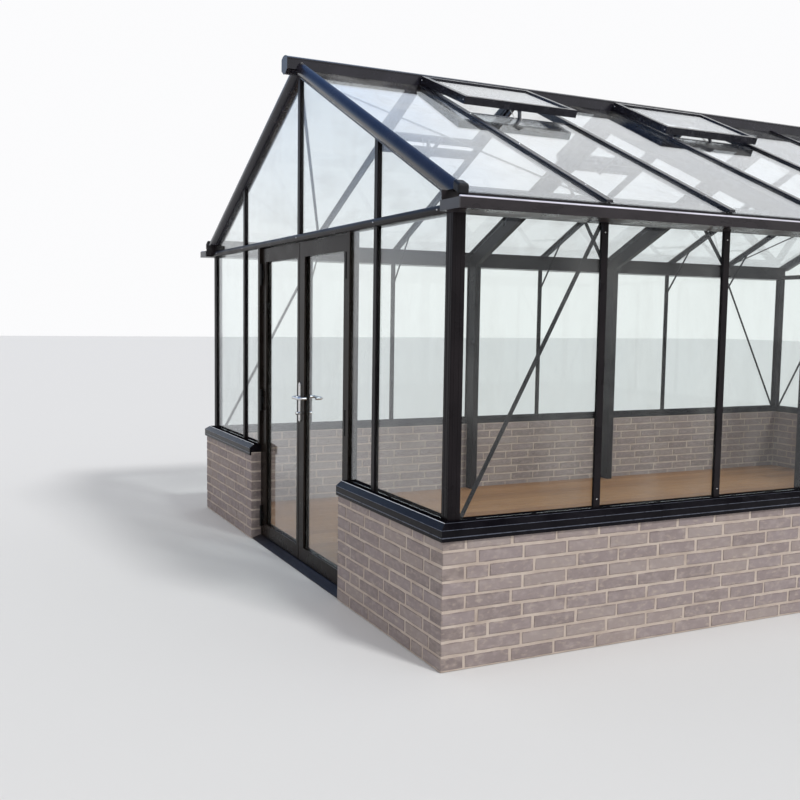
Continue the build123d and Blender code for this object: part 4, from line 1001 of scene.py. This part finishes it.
floor_mesh = bpy.data.meshes.new("studio_floor")
bm = bmesh.new()
bmesh.ops.create_grid(bm, x_segments=1, y_segments=1, size=60.0)
bm.to_mesh(floor_mesh)
bm.free()
studio_floor = bpy.data.objects.new("studio_floor", floor_mesh)
studio_floor.location = (0.0, 0.0, -0.003)
bpy.context.scene.collection.objects.link(studio_floor)
floor_finish = new_finish("studio_floor")
shader_of(floor_finish).inputs["Base Color"].default_value = (0.80, 0.80, 0.79, 1.0)
shader_of(floor_finish).inputs["Roughness"].default_value = 0.9
floor_mesh.materials.append(floor_finish)
studio_floor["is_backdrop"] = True

# The sky that lights the house is even; the one that glass and metal mirror deepens to blue
# overhead, and the camera sees a nearly white backdrop.
world = bpy.data.worlds.new("sky")
bpy.context.scene.world = world
world.use_nodes = True
sky = world.node_tree
lighting = sky.nodes["Background"]
lighting.inputs["Color"].default_value = (0.92, 0.92, 0.95, 1.0)
lighting.inputs["Strength"].default_value = 0.66
backdrop = sky.nodes.new("ShaderNodeBackground")
backdrop.inputs["Color"].default_value = (0.97, 0.97, 0.98, 1.0)
mirrored = sky.nodes.new("ShaderNodeBackground")
mirrored.inputs["Strength"].default_value = 1.08
direction = sky.nodes.new("ShaderNodeTexCoord")
overhead = sky.nodes.new("ShaderNodeVectorMath")
overhead.operation = "DOT_PRODUCT"
overhead.inputs[1].default_value = (-0.36, -0.36, 0.86)
sky.links.new(direction.outputs["Generated"], overhead.inputs[0])
dome = shades(
    world,
    overhead.outputs["Value"],
    [(0.52, (0.96, 0.97, 0.98)), (0.68, (0.48, 0.65, 0.94)), (0.88, (0.12, 0.26, 0.62))],
)
sky.links.new(dome, mirrored.inputs["Color"])
path = sky.nodes.new("ShaderNodeLightPath")
bounced = sky.nodes.new("ShaderNodeMath")
bounced.operation = "MAXIMUM"
sky.links.new(path.outputs["Is Glossy Ray"], bounced.inputs[0])
sky.links.new(path.outputs["Is Transmission Ray"], bounced.inputs[1])
lit = sky.nodes.new("ShaderNodeMixShader")
sky.links.new(bounced.outputs["Value"], lit.inputs["Fac"])
sky.links.new(lighting.outputs["Background"], lit.inputs[1])
sky.links.new(mirrored.outputs["Background"], lit.inputs[2])
seen = sky.nodes.new("ShaderNodeMixShader")
sky.links.new(path.outputs["Is Camera Ray"], seen.inputs["Fac"])
sky.links.new(lit.outputs["Shader"], seen.inputs[1])
sky.links.new(backdrop.outputs["Background"], seen.inputs[2])
sky.links.new(seen.outputs["Shader"], sky.nodes["World Output"].inputs["Surface"])

lamp_data = bpy.data.lights.new("lamp", "SUN")
lamp_data.energy = 1.6
lamp_data.angle = math.radians(10.0)
lamp = bpy.data.objects.new("lamp", lamp_data)
lamp.rotation_euler = Vector((0.80, 0.28, 0.80)).to_track_quat("Z", "Y").to_euler()
bpy.context.scene.collection.objects.link(lamp)
bpy.context.scene.view_settings.view_transform = "Standard"

low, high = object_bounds()
